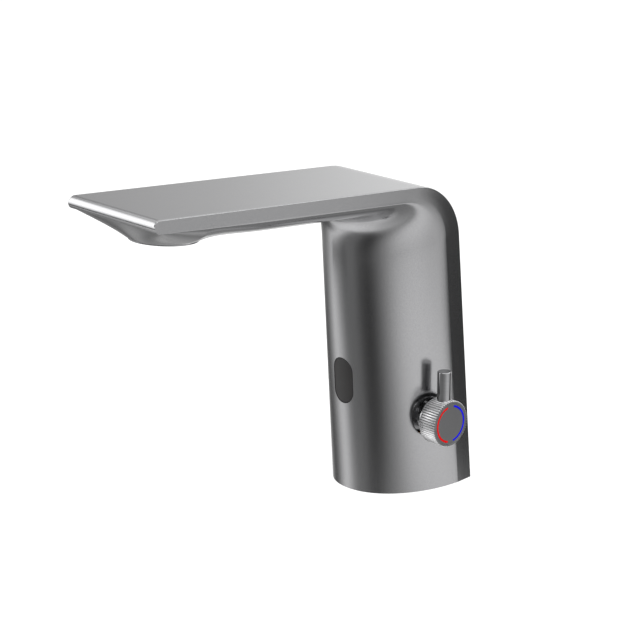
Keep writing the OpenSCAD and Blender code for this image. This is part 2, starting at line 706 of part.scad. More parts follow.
sleeve_end_gap = 0.6;
sleeve_in_x = sleeve_end_gap - bore_in_x;
sleeve_out_x = bore_in_x + sleeve_end_gap;
spool_r = 5;
spool_gap = 0.05;
sleeve_floor = 2;
spindle_r = 3.5;
spindle_seat_r = 3;
port_r = 2;
cartridge_ring_x = [for (i = [-1.5 : 1.5]) i * inlet_x];
module cartridge_sleeve() color([0.86, 0.84, 0.78]) difference() {
    along_knob(sleeve_in_x) cylinder(r = cartridge_r, h = sleeve_out_x - sleeve_in_x);
    along_knob(sleeve_in_x + sleeve_floor) cylinder(r = spool_r + spool_gap, h = knob_x);
    mirrored() translate([inlet_x, knob_y, knob_z - cartridge_r - overrun])
        cylinder(r = port_r, h = cartridge_r, $fn = hole_facets);
    translate([0, valve_y, knob_z]) cylinder(r = port_r, h = cartridge_r + overrun, $fn = hole_facets);
    for (x = cartridge_ring_x) along_knob(x - o_ring_depth / 2)
        ring(cartridge_r + overrun, cartridge_r - o_ring_depth, o_ring_depth + 2 * push_gap);
}
module cartridge_o_rings() color([0.08, 0.08, 0.08])
    for (x = cartridge_ring_x) along_knob(x) o_ring(cartridge_r - o_ring_depth, cartridge_bore_r);

spool_wall = 2;
spool_groove = 1;
spool_out_x = sleeve_out_x - sleeve_end_gap;
// The spool's inlet slots reach from here to here, in degrees off the sleeve's ports
port_shut = 27;
port_open = 45;
nut_len = 6.4;
nut_in_x = sleeve_out_x;
nut_out_x = nut_in_x + nut_len;
// The spindle ends here, in the knob's sleeve
spindle_end_in = 3;
spindle_end_x = knob_x - spindle_end_in;
module mixing_spool() color([0.8, 0.66, 0.36]) difference() {
    union() {
        along_knob(sleeve_in_x + sleeve_floor + turn_gap)
            cylinder(r = spool_r, h = spool_out_x - sleeve_in_x - sleeve_floor - turn_gap);
        along_knob(0) cylinder(r = spindle_r, h = knob_x - knob_len - turn_gap);
        along_knob(0) cylinder(r = spindle_seat_r, h = spindle_end_x);
    }
    along_knob(sleeve_in_x)
        cylinder(r = spool_r - spool_wall, h = inlet_x + port_r + spool_groove - sleeve_in_x);
    for (s = [-1, 1], a = [port_shut : (port_open - port_shut) / 2 : port_open])
        translate([s * inlet_x, knob_y, knob_z]) rotate([180 + s * a, 0, 0])
            cylinder(r = port_r, h = 2 * spool_r, $fn = hole_facets);
    along_knob(-port_r) ring(2 * spool_r, spool_r - spool_groove, 2 * port_r);
    for (a = [0 : 90 : 270]) translate([0, knob_y, knob_z]) rotate([a, 0, 0])
        cylinder(r = port_r / 2, h = 2 * spool_r, $fn = hole_facets);
}

nut_seal_in = 1.6;
nut_seal_h = 1.4;
nut_seal_w = 1.1;
key_hole_r = 0.8;
key_hole_depth = 2;
key_hole_y = (spindle_r + cartridge_r) / 2;
module cartridge_nut() color([0.78, 0.64, 0.36]) difference() {
    along_knob(nut_in_x) cylinder(r = cartridge_r, h = nut_len);
    along_knob(nut_in_x - overrun) cylinder(r = spindle_r + turn_gap / 2, h = 2 * nut_out_x);
    along_knob(nut_in_x + nut_seal_in) cylinder(r = spindle_r + nut_seal_w, h = nut_seal_h);
    for (s = [-1, 1]) along_knob(nut_out_x - key_hole_depth) translate([0, s * key_hole_y, 0])
        cylinder(r = key_hole_r, h = key_hole_depth + overrun, $fn = hole_facets);
}
module spindle_o_ring() color([0.08, 0.08, 0.08])
    along_knob(nut_in_x + nut_seal_in + nut_seal_h / 2)
        o_ring(spindle_r + turn_gap / 2, spindle_r + nut_seal_w);

// Knob

collar_t = 1.5;
collar_step = 0.35;
collar_r = knob_r - collar_step;
neck_step = 0.6;
collar_neck_r = cartridge_r - neck_step;
knob_in_x = knob_x - knob_len;
collar_x = knob_in_x - turn_gap - collar_t;
module knob_collar() color([0.42, 0.42, 0.43]) difference() {
    union() {
        along_knob(nut_out_x) cylinder(r = collar_neck_r, h = collar_x + collar_t / 2 - nut_out_x);
        along_knob(collar_x) cylinder(r = collar_r, h = collar_t);
    }
    along_knob(0) cylinder(r = spindle_r + turn_gap / 2, h = knob_x);
}

pin_in = 4.3;
pin_x = knob_x - pin_in;
knob_rim = 1.05;
face_r = knob_r - knob_rim;
face_t = 0.7;
knob_skirt = 1.2;
skirt_wall = 2;
// Part of a flute's width that its slanting flanks take
flank_share = 0.3;
function flute_r(i) = knob_r - (i % 4 < 2 ? 0 : flute_depth);
module knob_sleeve() color([0.5, 0.5, 0.51]) difference() {
    along_knob(knob_in_x) linear_extrude(knob_len) polygon([for (i = [0 : 4 * flute_count - 1])
        let (a = 90 * (i - 0.5 + (i % 2) * flank_share) / flute_count) flute_r(i) * [cos(a), sin(a)]]);
    along_knob(knob_in_x - overrun) cylinder(r = knob_r - skirt_wall, h = knob_skirt + overrun);
    along_knob(0) cylinder(r = spindle_seat_r + push_gap / 2, h = spindle_end_x);
    along_knob(knob_x - face_t - push_gap) cylinder(r = face_r + push_gap, h = knob_len);
    translate([pin_x, knob_y, knob_z]) cylinder(r = pin_r + push_gap / 2, h = 2 * knob_r);
    translate([pin_x, knob_y, knob_z]) rotate([180, 0, 0])
        cylinder(r = screw_r + push_gap / 2, h = 2 * knob_r, $fn = hole_facets);
}

mark_depth = 0.35;
mark_from = 16;
mark_to = 166;
// An arc with round ends on the knob's face, on the side that s gives
module mark_arc(s, g) along_knob(knob_x - mark_depth) {
    rotate(180) mirror([0, s > 0 ? 1 : 0, 0]) {
        rotate(mark_from) rotate_extrude(angle = mark_to - mark_from)
            translate([mark_r - mark_w / 2 - g, 0]) square([mark_w + 2 * g, mark_depth + 2 * g]);
        for (a = [mark_from, mark_to]) rotate(a) translate([mark_r, 0])
            cylinder(r = mark_w / 2 + g, h = mark_depth + 2 * g, $fn = ring_facets);
    }
}
module knob_face() color([0.4, 0.4, 0.41]) difference() {
    along_knob(knob_x - face_t) cylinder(r = face_r, h = face_t);
    mark_arc(-1, push_gap / 2);
    mark_arc(1, push_gap / 2);
}
module hot_mark() color([0.9, 0.02, 0.02]) mark_arc(-1, 0);
module cold_mark() color([0.02, 0.02, 0.9]) mark_arc(1, 0);

pin_bevel = 0.3;
pin_foot_gap = 0.55;
pin_foot = spindle_seat_r + pin_foot_gap;
module lever_pin() color([0.55, 0.55, 0.56]) translate([pin_x, knob_y, knob_z]) rotate_extrude()
    polygon([[0, pin_foot], [pin_r, pin_foot],
             [pin_r, pin_reach - pin_bevel], [pin_r - pin_bevel, pin_reach], [0, pin_reach]]);

grub_sink = 1;
grub_from = spindle_seat_r + lay_gap;
grub_to = knob_r - grub_sink;
module grub_screw() color([0.3, 0.3, 0.31]) translate([pin_x, knob_y, knob_z - grub_to])
    cap_screw(screw_r, screw_r, grub_to - grub_from, grub_to - grub_from, screw_r / 2);

// Solenoid valve

valve_r = 10.5;
flange_h = 4;
chamber_wall = 2.5;
nozzle_r = 3.6;
arm_w = 9.4;
arm_h = 5.8;
arm_z = seat_z - arm_h;
arm_port_drop = 3;
arm_port_z = seat_z - arm_port_drop;
socket_rise = 4;
socket_len = 4;
socket_z = seat_z + socket_rise;
socket_top = socket_z + socket_len;
ring_seat_r = 4.2;
ring_seat_h = 1.3;
ring_seat_step = 0.4;
module valve_body() color([0.15, 0.15, 0.16]) difference() {
    union() {
        translate([0, valve_y, pad_z]) cylinder(r = valve_r, h = seat_z - pad_z);
        translate([-pad_x, valve_y - pad_y, pad_z]) cube([2 * pad_x, 2 * pad_y, flange_h]);
        translate([-arm_w / 2, tube_y, arm_z]) cube([arm_w, valve_y - tube_y, arm_h]);
        translate([0, tube_y, arm_z]) cylinder(r = arm_w / 2, h = socket_top - arm_z);
    }
    difference() {
        translate([0, valve_y, floor_z]) cylinder(r = valve_r - chamber_wall, h = seat_z);
        translate([0, valve_y, pad_z]) cylinder(r = nozzle_r, h = seat_z - pad_z - push_gap);
    }
    translate([0, valve_y, pad_z - overrun]) cylinder(r = valve_port_r, h = seat_z);
    translate([0, valve_y, pad_z - overrun]) cylinder(r = ring_seat_r, h = ring_seat_h + overrun);
    translate([0, valve_y - valve_r + 2 * chamber_wall, arm_port_z]) rotate([90, 0, 0])
        cylinder(r = port_r, h = valve_y - valve_r + 2 * chamber_wall - tube_y, $fn = hole_facets);
    translate([0, tube_y, arm_port_z]) cylinder(r = port_r, h = socket_top - arm_port_z, $fn = hole_facets);
    translate([0, tube_y, socket_z]) cylinder(r = tube_bore_r, h = socket_top);
    mirrored() translate([valve_screw_x, valve_y, pad_z - overrun])
        cylinder(r = valve_screw_r + lay_gap, h = 2 * flange_h, $fn = hole_facets);
}
module valve_o_ring() color([0.08, 0.08, 0.08])
    translate([0, valve_y, pad_z + ring_seat_h / 2]) o_ring(valve_port_r + ring_seat_step, ring_seat_r);
valve_head_r = 2.6;
valve_head_h = 2;
module valve_screws() color([0.78, 0.78, 0.79]) mirrored()
    translate([valve_screw_x, valve_y, pad_z + flange_h + valve_head_h]) rotate([180, 0, 0])
        cap_screw(valve_screw_r, valve_head_r, valve_head_h,
                  valve_head_h + flange_h + valve_screw_depth - screw_end_gap, valve_head_r / 2);

diaphragm_in = 0.4;
module valve_diaphragm() color([0.12, 0.12, 0.12])
    translate([0, valve_y, seat_z]) cylinder(r = valve_r - diaphragm_in, h = diaphragm_t);

tube_outer_r = 5;
plunger_r = 4;
plunger_gap = 0.06;
tube_inner_r = plunger_r + plunger_gap;
pilot_r = 7;
pilot_h = 1.8;
module valve_cover() color([0.15, 0.15, 0.16]) difference() {
    translate([0, valve_y, cover_z]) cylinder(r = valve_r, h = cover_h);
    translate([0, valve_y, cover_z - overrun]) cylinder(r = pilot_r, h = overrun + pilot_h);
    translate([0, valve_y, cover_z]) cylinder(r = tube_outer_r + push_gap, h = 2 * cover_h);
}

guide_z = cover_z + pilot_h + turn_gap;
plunger_z = guide_z + 2 * turn_gap;
yoke_w = 15.2;
core_rise = 3;
core_z = coil_z + coil_h / 2 + core_rise;
tube_stand = 2;
spring_len = 4 * plunger_travel;
plunger_top = core_z - spring_len;
module plunger_tube() color([0.7, 0.7, 0.72]) translate([0, valve_y, guide_z])
    ring(tube_outer_r, tube_inner_r, coil_top + yoke_t + tube_stand - guide_z);
module fixed_core() color([0.6, 0.6, 0.62])
    translate([0, valve_y, core_z])
        cylinder(r = tube_inner_r - push_gap / 2, h = coil_top + yoke_t + tube_stand / 2 - core_z);
module valve_plunger() color([0.66, 0.66, 0.68]) translate([0, valve_y, 0]) {
    translate([0, 0, plunger_z]) cylinder(r = plunger_r, h = plunger_top - plunger_z);
    translate([0, 0, cover_z + turn_gap]) cylinder(r = plunger_r / 2, h = plunger_z - cover_z);
}

// Compression spring between the plunger and the fixed core
spring_r = 2.8;
spring_wire_r = 0.28;
spring_turns = 4;
spring_steps = 12;
spring_sides = 6;
spring_rise = spring_len - 2 * (spring_wire_r + lay_gap);
function spring_ring(i) =
    let (a = 360 * i / spring_steps,
         z = plunger_top + spring_wire_r + lay_gap + spring_rise * i / (spring_turns * spring_steps))
    [for (k = [0 : spring_sides - 1])
        let (b = 360 * k / spring_sides, r = spring_r + spring_wire_r * cos(b))
        [r * cos(a), valve_y + r * sin(a), z + spring_wire_r * sin(b)]];
module plunger_spring() color([0.75, 0.75, 0.78])
    loft([for (i = [0 : spring_turns * spring_steps]) spring_ring(i)]);

bobbin_t = 1.2;
bobbin_step = 0.8;
module solenoid_coil() color([0.1, 0.1, 0.11]) difference() {
    union() {
        translate([0, valve_y, coil_z]) cylinder(r = coil_r, h = bobbin_t);
        translate([0, valve_y, coil_z]) cylinder(r = coil_r - bobbin_step, h = coil_h);
        translate([0, valve_y, coil_top - bobbin_t]) cylinder(r = coil_r, h = bobbin_t);
    }
    translate([0, valve_y, coil_z - overrun]) cylinder(r = tube_outer_r + push_gap, h = 2 * coil_h);
}

module coil_yoke() color([0.62, 0.63, 0.65]) difference() {
    translate([-yoke_w / 2, valve_y - coil_r - lay_gap - yoke_t, coil_z - yoke_t])
        cube([yoke_w, coil_r + lay_gap + yoke_t + yoke_w / 2, coil_h + 2 * yoke_t]);
    translate([-yoke_w, valve_y - coil_r - lay_gap, coil_z])
        cube([2 * yoke_w, 2 * coil_r + yoke_w, coil_h]);
    translate([0, valve_y, pad_z]) cylinder(r = tube_outer_r + push_gap, h = 2 * corner_h);
}

// Spout tube from the valve to the outlet

tube_wall = 1.2;
module tube_run(len) translate([tube_bend_r, 0, 0]) difference() {
    cylinder(r = spout_tube_r, h = len);
    translate([0, 0, -overrun]) cylinder(r = spout_tube_r - tube_wall, h = len + 2 * overrun);
}
module bent_tube() at_tube_bend() {
    rotate([90, 0, 0]) tube_run(tube_bend_z - socket_z - push_gap);
    rotate_extrude(angle = tube_bend_turn) translate([tube_bend_r, 0]) difference() {
        circle(r = spout_tube_r);
        circle(r = spout_tube_r - tube_wall);
    }
    rotate(tube_bend_turn) rotate([-90, 0, 0])
        tube_run(nose_dist(tube_corner + to_nose * tube_bend_len) - tube_socket_d - push_gap);
}
tube_ring_z = socket_z + socket_len / 2;
tube_ring_d = tube_socket_d + tube_socket_len / 2;
module spout_tube() color([0.88, 0.88, 0.84]) difference() {
    bent_tube();
    translate([0, tube_y, tube_ring_z - o_ring_depth / 2])
        ring(2 * spout_tube_r, spout_tube_r - o_ring_depth, o_ring_depth + 2 * push_gap);
    on_plate(tube_ring_d) translate([0, o_ring_depth / 2, tube_depth]) rotate([90, 0, 0])
        ring(2 * spout_tube_r, spout_tube_r - o_ring_depth, o_ring_depth + 2 * push_gap);
}
module spout_tube_o_rings() color([0.08, 0.08, 0.08]) {
    translate([0, tube_y, tube_ring_z]) o_ring(spout_tube_r - o_ring_depth, tube_bore_r);
    on_plate(tube_ring_d) translate([0, 0, tube_depth]) rotate([90, 0, 0])
        o_ring(spout_tube_r - o_ring_depth, tube_bore_r);
}

// Flow straightener in the outlet

aerator_wall = 1.6;
aerator_end = pod_mouth_depth - mouth_recess;
notch_w = 2;
notch_in = 1.2;
module aerator_housing() color([0.7, 0.7, 0.71]) on_plate(pod_d) difference() {
    translate([0, 0, aerator_depth]) cylinder(r = aerator_r, h = aerator_end - aerator_depth);
    translate([0, 0, aerator_depth - overrun]) cylinder(r = aerator_r - aerator_wall, h = pod_mouth_depth);
    for (a = [0 : 90 : 270]) rotate(a)
        translate([aerator_r - notch_in, -notch_w / 2, aerator_end - notch_in]) cube(notch_w);
}
insert_t = 4;
insert_rim = 3.2;
grid_pitch = 3.1;
grid_rows = 3;
grid_hole_share = 0.42;
module aerator_insert() color([0.3, 0.3, 0.32]) on_plate(pod_d) difference() {
    translate([0, 0, aerator_depth + lay_gap])
        cylinder(r = aerator_r - aerator_wall - push_gap, h = insert_t);
    for (i = [-grid_rows : grid_rows], j = [-grid_rows : grid_rows]) {
        x = grid_pitch * (i + j / 2);
        y = grid_pitch * j * sin(60);
        if (norm([x, y]) < aerator_r - insert_rim)
            translate([x, y, aerator_depth - overrun])
                cylinder(r = grid_pitch * grid_hole_share, h = insert_t + 3 * overrun, $fn = hex_facets);
    }
}
seal_w = 3.4;
module aerator_seal() color([0.08, 0.08, 0.08]) on_plate(pod_d)
    translate([0, 0, seal_depth])
        ring(aerator_r - push_gap, aerator_r - seal_w, aerator_depth - seal_depth);

tap_body();
base_plate();
base_gasket();
base_screws();
cable_grommet();
sensor_window();
sensor_gasket();
sensor_housing();
sensor_board();
ir_emitter();
ir_receiver();
sensor_screws();
hot_inlet_tube();
cold_inlet_tube();
inlet_o_rings();
inlet_filters();
cartridge_sleeve();
cartridge_o_rings();
cartridge_nut();
spindle_o_ring();
mixing_spool();
knob_collar();
knob_sleeve();
knob_face();
hot_mark();
cold_mark();
lever_pin();
grub_screw();
valve_body();
valve_o_ring();
valve_screws();
valve_diaphragm();
valve_cover();
plunger_tube();
fixed_core();
valve_plunger();
plunger_spring();
solenoid_coil();
coil_yoke();
spout_tube();
spout_tube_o_rings();
aerator_housing();
aerator_insert();
aerator_seal();
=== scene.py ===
"""Looks of a deck-mounted sensor mixer tap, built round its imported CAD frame.

The casting's skin is lofted again from the same side view as the solids, with finer steps.
The pieces that show are dressed here; the pieces inside keep their solids and get their finish.
"""

import json
import math

import bmesh
import bpy
from mathutils import Matrix, Vector

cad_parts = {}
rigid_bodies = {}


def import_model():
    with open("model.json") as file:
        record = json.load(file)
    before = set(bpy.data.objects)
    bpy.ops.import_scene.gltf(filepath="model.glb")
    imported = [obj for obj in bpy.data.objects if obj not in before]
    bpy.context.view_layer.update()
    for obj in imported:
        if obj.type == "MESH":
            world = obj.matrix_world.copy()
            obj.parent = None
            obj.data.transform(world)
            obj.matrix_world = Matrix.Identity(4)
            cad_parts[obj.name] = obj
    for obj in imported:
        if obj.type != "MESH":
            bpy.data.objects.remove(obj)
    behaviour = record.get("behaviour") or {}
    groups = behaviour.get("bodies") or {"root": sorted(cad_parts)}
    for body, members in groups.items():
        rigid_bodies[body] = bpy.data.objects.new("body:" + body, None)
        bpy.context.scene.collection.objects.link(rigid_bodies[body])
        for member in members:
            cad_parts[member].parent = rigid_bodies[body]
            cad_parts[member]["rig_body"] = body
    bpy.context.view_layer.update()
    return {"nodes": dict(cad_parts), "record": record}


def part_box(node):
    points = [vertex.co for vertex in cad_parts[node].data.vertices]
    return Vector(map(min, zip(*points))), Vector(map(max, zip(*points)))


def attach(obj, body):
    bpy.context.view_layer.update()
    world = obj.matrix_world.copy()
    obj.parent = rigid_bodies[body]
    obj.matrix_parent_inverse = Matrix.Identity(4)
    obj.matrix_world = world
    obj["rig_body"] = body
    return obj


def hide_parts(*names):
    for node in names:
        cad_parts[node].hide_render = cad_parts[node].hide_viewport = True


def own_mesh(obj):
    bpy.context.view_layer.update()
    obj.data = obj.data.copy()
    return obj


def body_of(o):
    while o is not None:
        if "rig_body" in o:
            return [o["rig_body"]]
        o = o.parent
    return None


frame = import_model()
NODES = frame["nodes"]
MM = 0.001


# Sizes of the part, in millimetres

RIBBON_W = 54.0
PLATE_T = 5.4
STRIP_T = 9.2
EDGE_DRAFT = 6.0
EDGE_ROUND = 0.5
CORNER_H = 134.8
PLATE_LEN = 159.9
BACK_LEAN = 5.2
PLATE_RISE = 3.8
FRONT_LEAN = 3.1
BASE_DEPTH = 49.6
BEND_R = 26.7
INNER_BEND_R = 21.0
KEEL_DEPTH = 8.4
KEEL_RUN = 60.0
KEEL_FILLET_RUN = 21.0
COLUMN_ROUND = 2.1
KEEL_ROUND = 2.0
WALL_T = 3.0
BACK_WALL_T = 8.2
BASE_T = 8.0
BASE_LEDGE = 0.8
POD_D = 26.0
POD_R = 14.0
POD_DEPTH = 9.4
POD_RIM_H = 0.4
POD_HOLLOW = 3.1
POD_RUN = 1.5 * POD_R
# How softly the pod's run to the sides turns into its run to the ends
POD_BLEND = 3
SQUARE_D = 2 * POD_D
AERATOR_R = 12.0
WINDOW_Z = 49.7
WINDOW_W = 11.0
WINDOW_H = 20.0
WINDOW_GAP = 0.3
WINDOW_DEPTH = 3.3
KNOB_Z = 33.8
KNOB_Y = -0.9
KNOB_STAND = 11.0
KNOB_R = 10.1
KNOB_LEN = 9.0
FLUTES = 56
FLUTE_DEPTH = 0.45
NECK_HOLE_R = 8.05

DRAFT = math.tan(math.radians(EDGE_DRAFT))
HALF_W = RIBBON_W / 2
STRIP_HALF_W = HALF_W + STRIP_T * DRAFT
PLATE_HALF_W = HALF_W + PLATE_T * DRAFT
BACK_Y = BASE_DEPTH / 2
FRONT_Y = -BASE_DEPTH / 2
KNOB_X = STRIP_HALF_W + KNOB_STAND


def turned(y, z, degrees):
    a = math.radians(degrees)
    return Vector((y * math.cos(a) - z * math.sin(a), y * math.sin(a) + z * math.cos(a)))


UP_STRIP = turned(0, 1, BACK_LEAN)
UP_FRONT = turned(0, 1, FRONT_LEAN)
TO_NOSE = turned(-1, 0, -PLATE_RISE)
PLATE_DOWN = turned(0, -1, -PLATE_RISE)
CREASE_Y = BACK_Y - STRIP_T / math.cos(math.radians(BACK_LEAN))


def cross(a, b):
    return a.x * b.y - a.y * b.x


def meet(p, u, q, v):
    return p + u * (cross(q - p, v) / cross(u, v))


OUTER_CORNER = Vector((BACK_Y, 0)) + UP_STRIP * (CORNER_H / math.cos(math.radians(BACK_LEAN)))
INNER_CORNER = meet(Vector((CREASE_Y, 0)), UP_STRIP, OUTER_CORNER + PLATE_DOWN * PLATE_T, TO_NOSE)
KEEL_CORNER = meet(Vector((FRONT_Y, 0)), UP_FRONT,
                   OUTER_CORNER + PLATE_DOWN * (PLATE_T + KEEL_DEPTH), TO_NOSE)
NOSE = OUTER_CORNER + TO_NOSE * PLATE_LEN
NOSE_R = PLATE_T / 2


def round_point(c, u, v, r, t):
    """Point at share t of the round of radius r between lines u and v, which meet at c."""
    turn = math.acos(u.dot(v))
    start = c - u * (r * math.tan(turn / 2))
    side = (v - u * u.dot(v)) / math.sin(turn)
    return start + side * (r * (1 - math.cos(turn * t))) + u * (r * math.sin(turn * t))


def outer_point(t):
    return round_point(OUTER_CORNER, UP_STRIP, TO_NOSE, BEND_R, t)


def inner_point(t):
    return round_point(INNER_CORNER, UP_STRIP, TO_NOSE, INNER_BEND_R, t)


def keel_point(t):
    """Point at share t of the keel's fillet, which leaves both of its lines without a break."""
    start = KEEL_CORNER - UP_FRONT * KEEL_FILLET_RUN
    end = KEEL_CORNER + TO_NOSE * KEEL_FILLET_RUN
    return start * (1 - t) ** 3 + KEEL_CORNER * (3 * t * (1 - t)) + end * t ** 3


def nose_dist(p):
    return (NOSE - p).dot(TO_NOSE)


def plate_point(d, depth):
    return NOSE - TO_NOSE * d + PLATE_DOWN * depth


def blend_share(v):
    return min(1.0, max(0.0, v))


def under_depth(x, d, s):
    """Depth of the keel and of the pod under the plate."""
    ramp = math.sin(math.radians(90 * (d - NOSE_R) / KEEL_RUN)) if d < NOSE_R + KEEL_RUN else 1.0
    keel = KEEL_DEPTH * ramp * s
    dy = d - POD_D
    rho = max(math.hypot(x, dy), 0.001)
    along = dy / rho
    side_lim = PLATE_HALF_W / max(abs(x) / rho, 0.001)
    if along < 0:
        end_lim = (POD_D - NOSE_R) / max(-along, 0.001)
    else:
        end_lim = (POD_R + POD_RUN) / max(along, 0.001)
    to_side = blend_share((side_lim - rho) / (side_lim - POD_R))
    to_end = blend_share((end_lim - rho) / (end_lim - POD_R))
    near = 0.0
    if min(to_side, to_end) > 0.001:
        near = (to_side ** -POD_BLEND + to_end ** -POD_BLEND - 1) ** (-1 / POD_BLEND)
    return keel + (POD_DEPTH - POD_RIM_H - keel) * near ** (1 + POD_HOLLOW * max(along, 0))


def signed_pow(v, e):
    return math.copysign(abs(v) ** e, v)


SWELL_STEPS = 88
ROUND_STEPS = 4
FLAT_STEPS = 5
COLUMN_RINGS = 24
BEND_RINGS = 44
SQUARING_RINGS = 16
PLATE_RINGS = 60
NOSE_RINGS = 20
# Degrees round the nose to its last ring, which a flat cap closes
NOSE_TURN = 88
# Rows of corners this far off an edge keep the shading of the flats beside it flat
HOLD = 0.15


def outer_face(o, c, t):
    """Half of the flat outer face with its rounded edge and its drafted side, out to the crease."""
    inward = (c - o) / (c - o).length
    flat = HALF_W - EDGE_ROUND
    points = [(flat * i / FLAT_STEPS, o) for i in range(FLAT_STEPS)]
    points += [(flat - HOLD, o), (flat, o)]
    for i in range(1, ROUND_STEPS + 1):
        a = math.radians(90) * i / ROUND_STEPS
        drop = EDGE_ROUND * (1 - math.cos(a))
        points.append((flat + EDGE_ROUND * math.sin(a) + drop * DRAFT, o + inward * drop))
    for depth in (EDGE_ROUND + HOLD, t / 2, t - HOLD):
        points.append((HALF_W + depth * DRAFT, o + inward * depth))
    return points


def closed_ring(half, swell):
    """A ring that starts and ends at the middle of the outer face."""
    left = [(-x, p) for x, p in reversed(half)]
    return [Vector((x, p.x, p.y)) for x, p in half + swell + left]


def swell_share(e, j, steps=SWELL_STEPS):
    """Shares of the half width and of the depth at step j round a swelling front of exponent e."""
    a = math.pi * j / steps
    return signed_pow(math.cos(a), 2 / e), max(math.sin(a), 0.0) ** (2 / e)


def column_ring(o, c, k, t, e):
    """Ring through outer point o, crease c and front k: a strip t thick, a swell of exponent e."""
    w = HALF_W + t * DRAFT
    swell = []
    for j in range(SWELL_STEPS + 1):
        x, s = swell_share(e, j)
        swell.append((w * x, c.lerp(k, s)))
    return closed_ring(outer_face(o, c, t), swell)


def plate_ring(od, cd, kd):
    """Ring of the plate, its outer face, crease and keel at their own distances from the nose."""
    swell = []
    for j in range(SWELL_STEPS + 1):
        x, s = swell_share(KEEL_ROUND, j)
        d = cd + (kd - cd) * s
        x *= PLATE_HALF_W
        swell.append((x, plate_point(d, PLATE_T + under_depth(x, d, s))))
    return closed_ring(outer_face(plate_point(od, 0), plate_point(cd, PLATE_T), PLATE_T), swell)


def nose_ring(degrees):
    """Ring that closes in round the plate's full round nose."""
    a = math.radians(degrees)
    d = NOSE_R * (1 - math.sin(a))
    lift = NOSE_R * (1 - math.cos(a))
    top = plate_point(d, lift)
    low = plate_point(d, PLATE_T - lift)
    gap = (low - top).length
    cut = min(EDGE_ROUND, gap / 3)
    half = []
    for x, p in outer_face(plate_point(d, 0), plate_point(d, PLATE_T), PLATE_T):
        depth = (p - plate_point(d, 0)).length
        share = depth / PLATE_T if depth > EDGE_ROUND else depth / EDGE_ROUND * cut / gap
        half.append((min(x, HALF_W + (lift + gap * share) * DRAFT), top.lerp(low, share)))
    swell = []
    for j in range(SWELL_STEPS + 1):
        x, s = swell_share(KEEL_ROUND, j)
        swell.append(((HALF_W + (PLATE_T - lift) * DRAFT) * x, low))
    return closed_ring(half, swell)


def casting_rings():
    """Rings up the column, round the bend, square to the plate and out to its nose."""
    rings = []
    for i in range(COLUMN_RINGS):
        t = i / COLUMN_RINGS
        rings.append(column_ring(Vector((BACK_Y, 0)).lerp(outer_point(0), t),
                                 Vector((CREASE_Y, 0)).lerp(inner_point(0), t),
                                 Vector((FRONT_Y, 0)).lerp(keel_point(0), t), STRIP_T, COLUMN_ROUND))
    for i in range(BEND_RINGS):
        t = i / BEND_RINGS
        rings.append(column_ring(outer_point(t), inner_point(t), keel_point(t),
                                 STRIP_T + (PLATE_T - STRIP_T) * t,
                                 COLUMN_ROUND + (KEEL_ROUND - COLUMN_ROUND) * t))
    outer_end, inner_end, keel_end = (nose_dist(f(1)) for f in (outer_point, inner_point, keel_point))
    for i in range(SQUARING_RINGS):
        kd = keel_end + (SQUARE_D - keel_end) * i / SQUARING_RINGS
        s = max(0.0, (kd - SQUARE_D) / (keel_end - SQUARE_D))
        rings.append(plate_ring(kd + (outer_end - keel_end) * s, kd + (inner_end - keel_end) * s, kd))
    for i in range(PLATE_RINGS + 1):
        d = SQUARE_D + (NOSE_R - SQUARE_D) * i / PLATE_RINGS
        rings.append(plate_ring(d, d, d))
    rings.extend(nose_ring(NOSE_TURN * i / NOSE_RINGS) for i in range(1, NOSE_RINGS + 1))
    return rings


# Making meshes, in millimetres

def closed(bm):
    """Merges doubles, fills open ends and turns the faces outward."""
    bmesh.ops.remove_doubles(bm, verts=bm.verts, dist=0.002)
    rims = [edge for edge in bm.edges if edge.is_boundary]
    if rims:
        bmesh.ops.holes_fill(bm, edges=rims, sides=0)
    bmesh.ops.recalc_face_normals(bm, faces=bm.faces)
    return bm


def piece_from(bm, name):
    mesh = bpy.data.meshes.new(name)
    bmesh.ops.scale(bm, verts=bm.verts, vec=(MM, MM, MM))
    bm.to_mesh(mesh)
    bm.free()
    piece = bpy.data.objects.new(name, mesh)
    bpy.context.scene.collection.objects.link(piece)
    return piece


def lofted(rings, name):
    """A closed form through rings of as many points each, folded out of a grid."""
    bm = bmesh.new()
    bmesh.ops.create_grid(bm, x_segments=len(rings[0]), y_segments=len(rings) - 1, size=1)
    for vert, place in zip(bm.verts, (p for ring in rings for p in ring + ring[:1])):
        vert.co = place
    return piece_from(closed(bm), name)


def cut(piece, tool, operation="DIFFERENCE"):
    """Joins the tool to the piece, or takes it away, for good."""
    change = piece.modifiers.new("cut", "BOOLEAN")
    change.operation = operation
    change.solver = "EXACT"
    change.object = tool
    shown = piece.evaluated_get(bpy.context.evaluated_depsgraph_get())
    old = piece.data
    piece.data = bpy.data.meshes.new_from_object(shown)
    piece.modifiers.clear()
    bpy.data.meshes.remove(old)
    bpy.data.objects.remove(tool)


# Edges sharper than this many degrees are shown sharp, and eased where a piece is eased
EDGE_ANGLE = 30


def eased(piece, width):
    """Rounds the piece's sharp edges, as every made part's are."""
    rounding = piece.modifiers.new("eased edges", "BEVEL")
    rounding.width = width * MM
    rounding.segments = 2
    rounding.limit_method = "ANGLE"
    rounding.angle_limit = math.radians(EDGE_ANGLE)
    rounding.harden_normals = True


def shaded(piece, angle=EDGE_ANGLE):
    piece.data.shade_smooth()
    piece.data.set_sharp_from_angle(angle=math.radians(angle))


def along_knob(x):
    return Matrix.Translation((x, KNOB_Y, KNOB_Z)) @ Matrix.Rotation(math.radians(90), 4, "Y")


def on_plate(d):
    """Frame on the plate's top, with its z axis going down into the plate."""
    p = plate_point(d, 0)
    return Matrix.Translation((0, p.x, p.y)) @ Matrix.Rotation(math.radians(180 - PLATE_RISE), 4, "X")


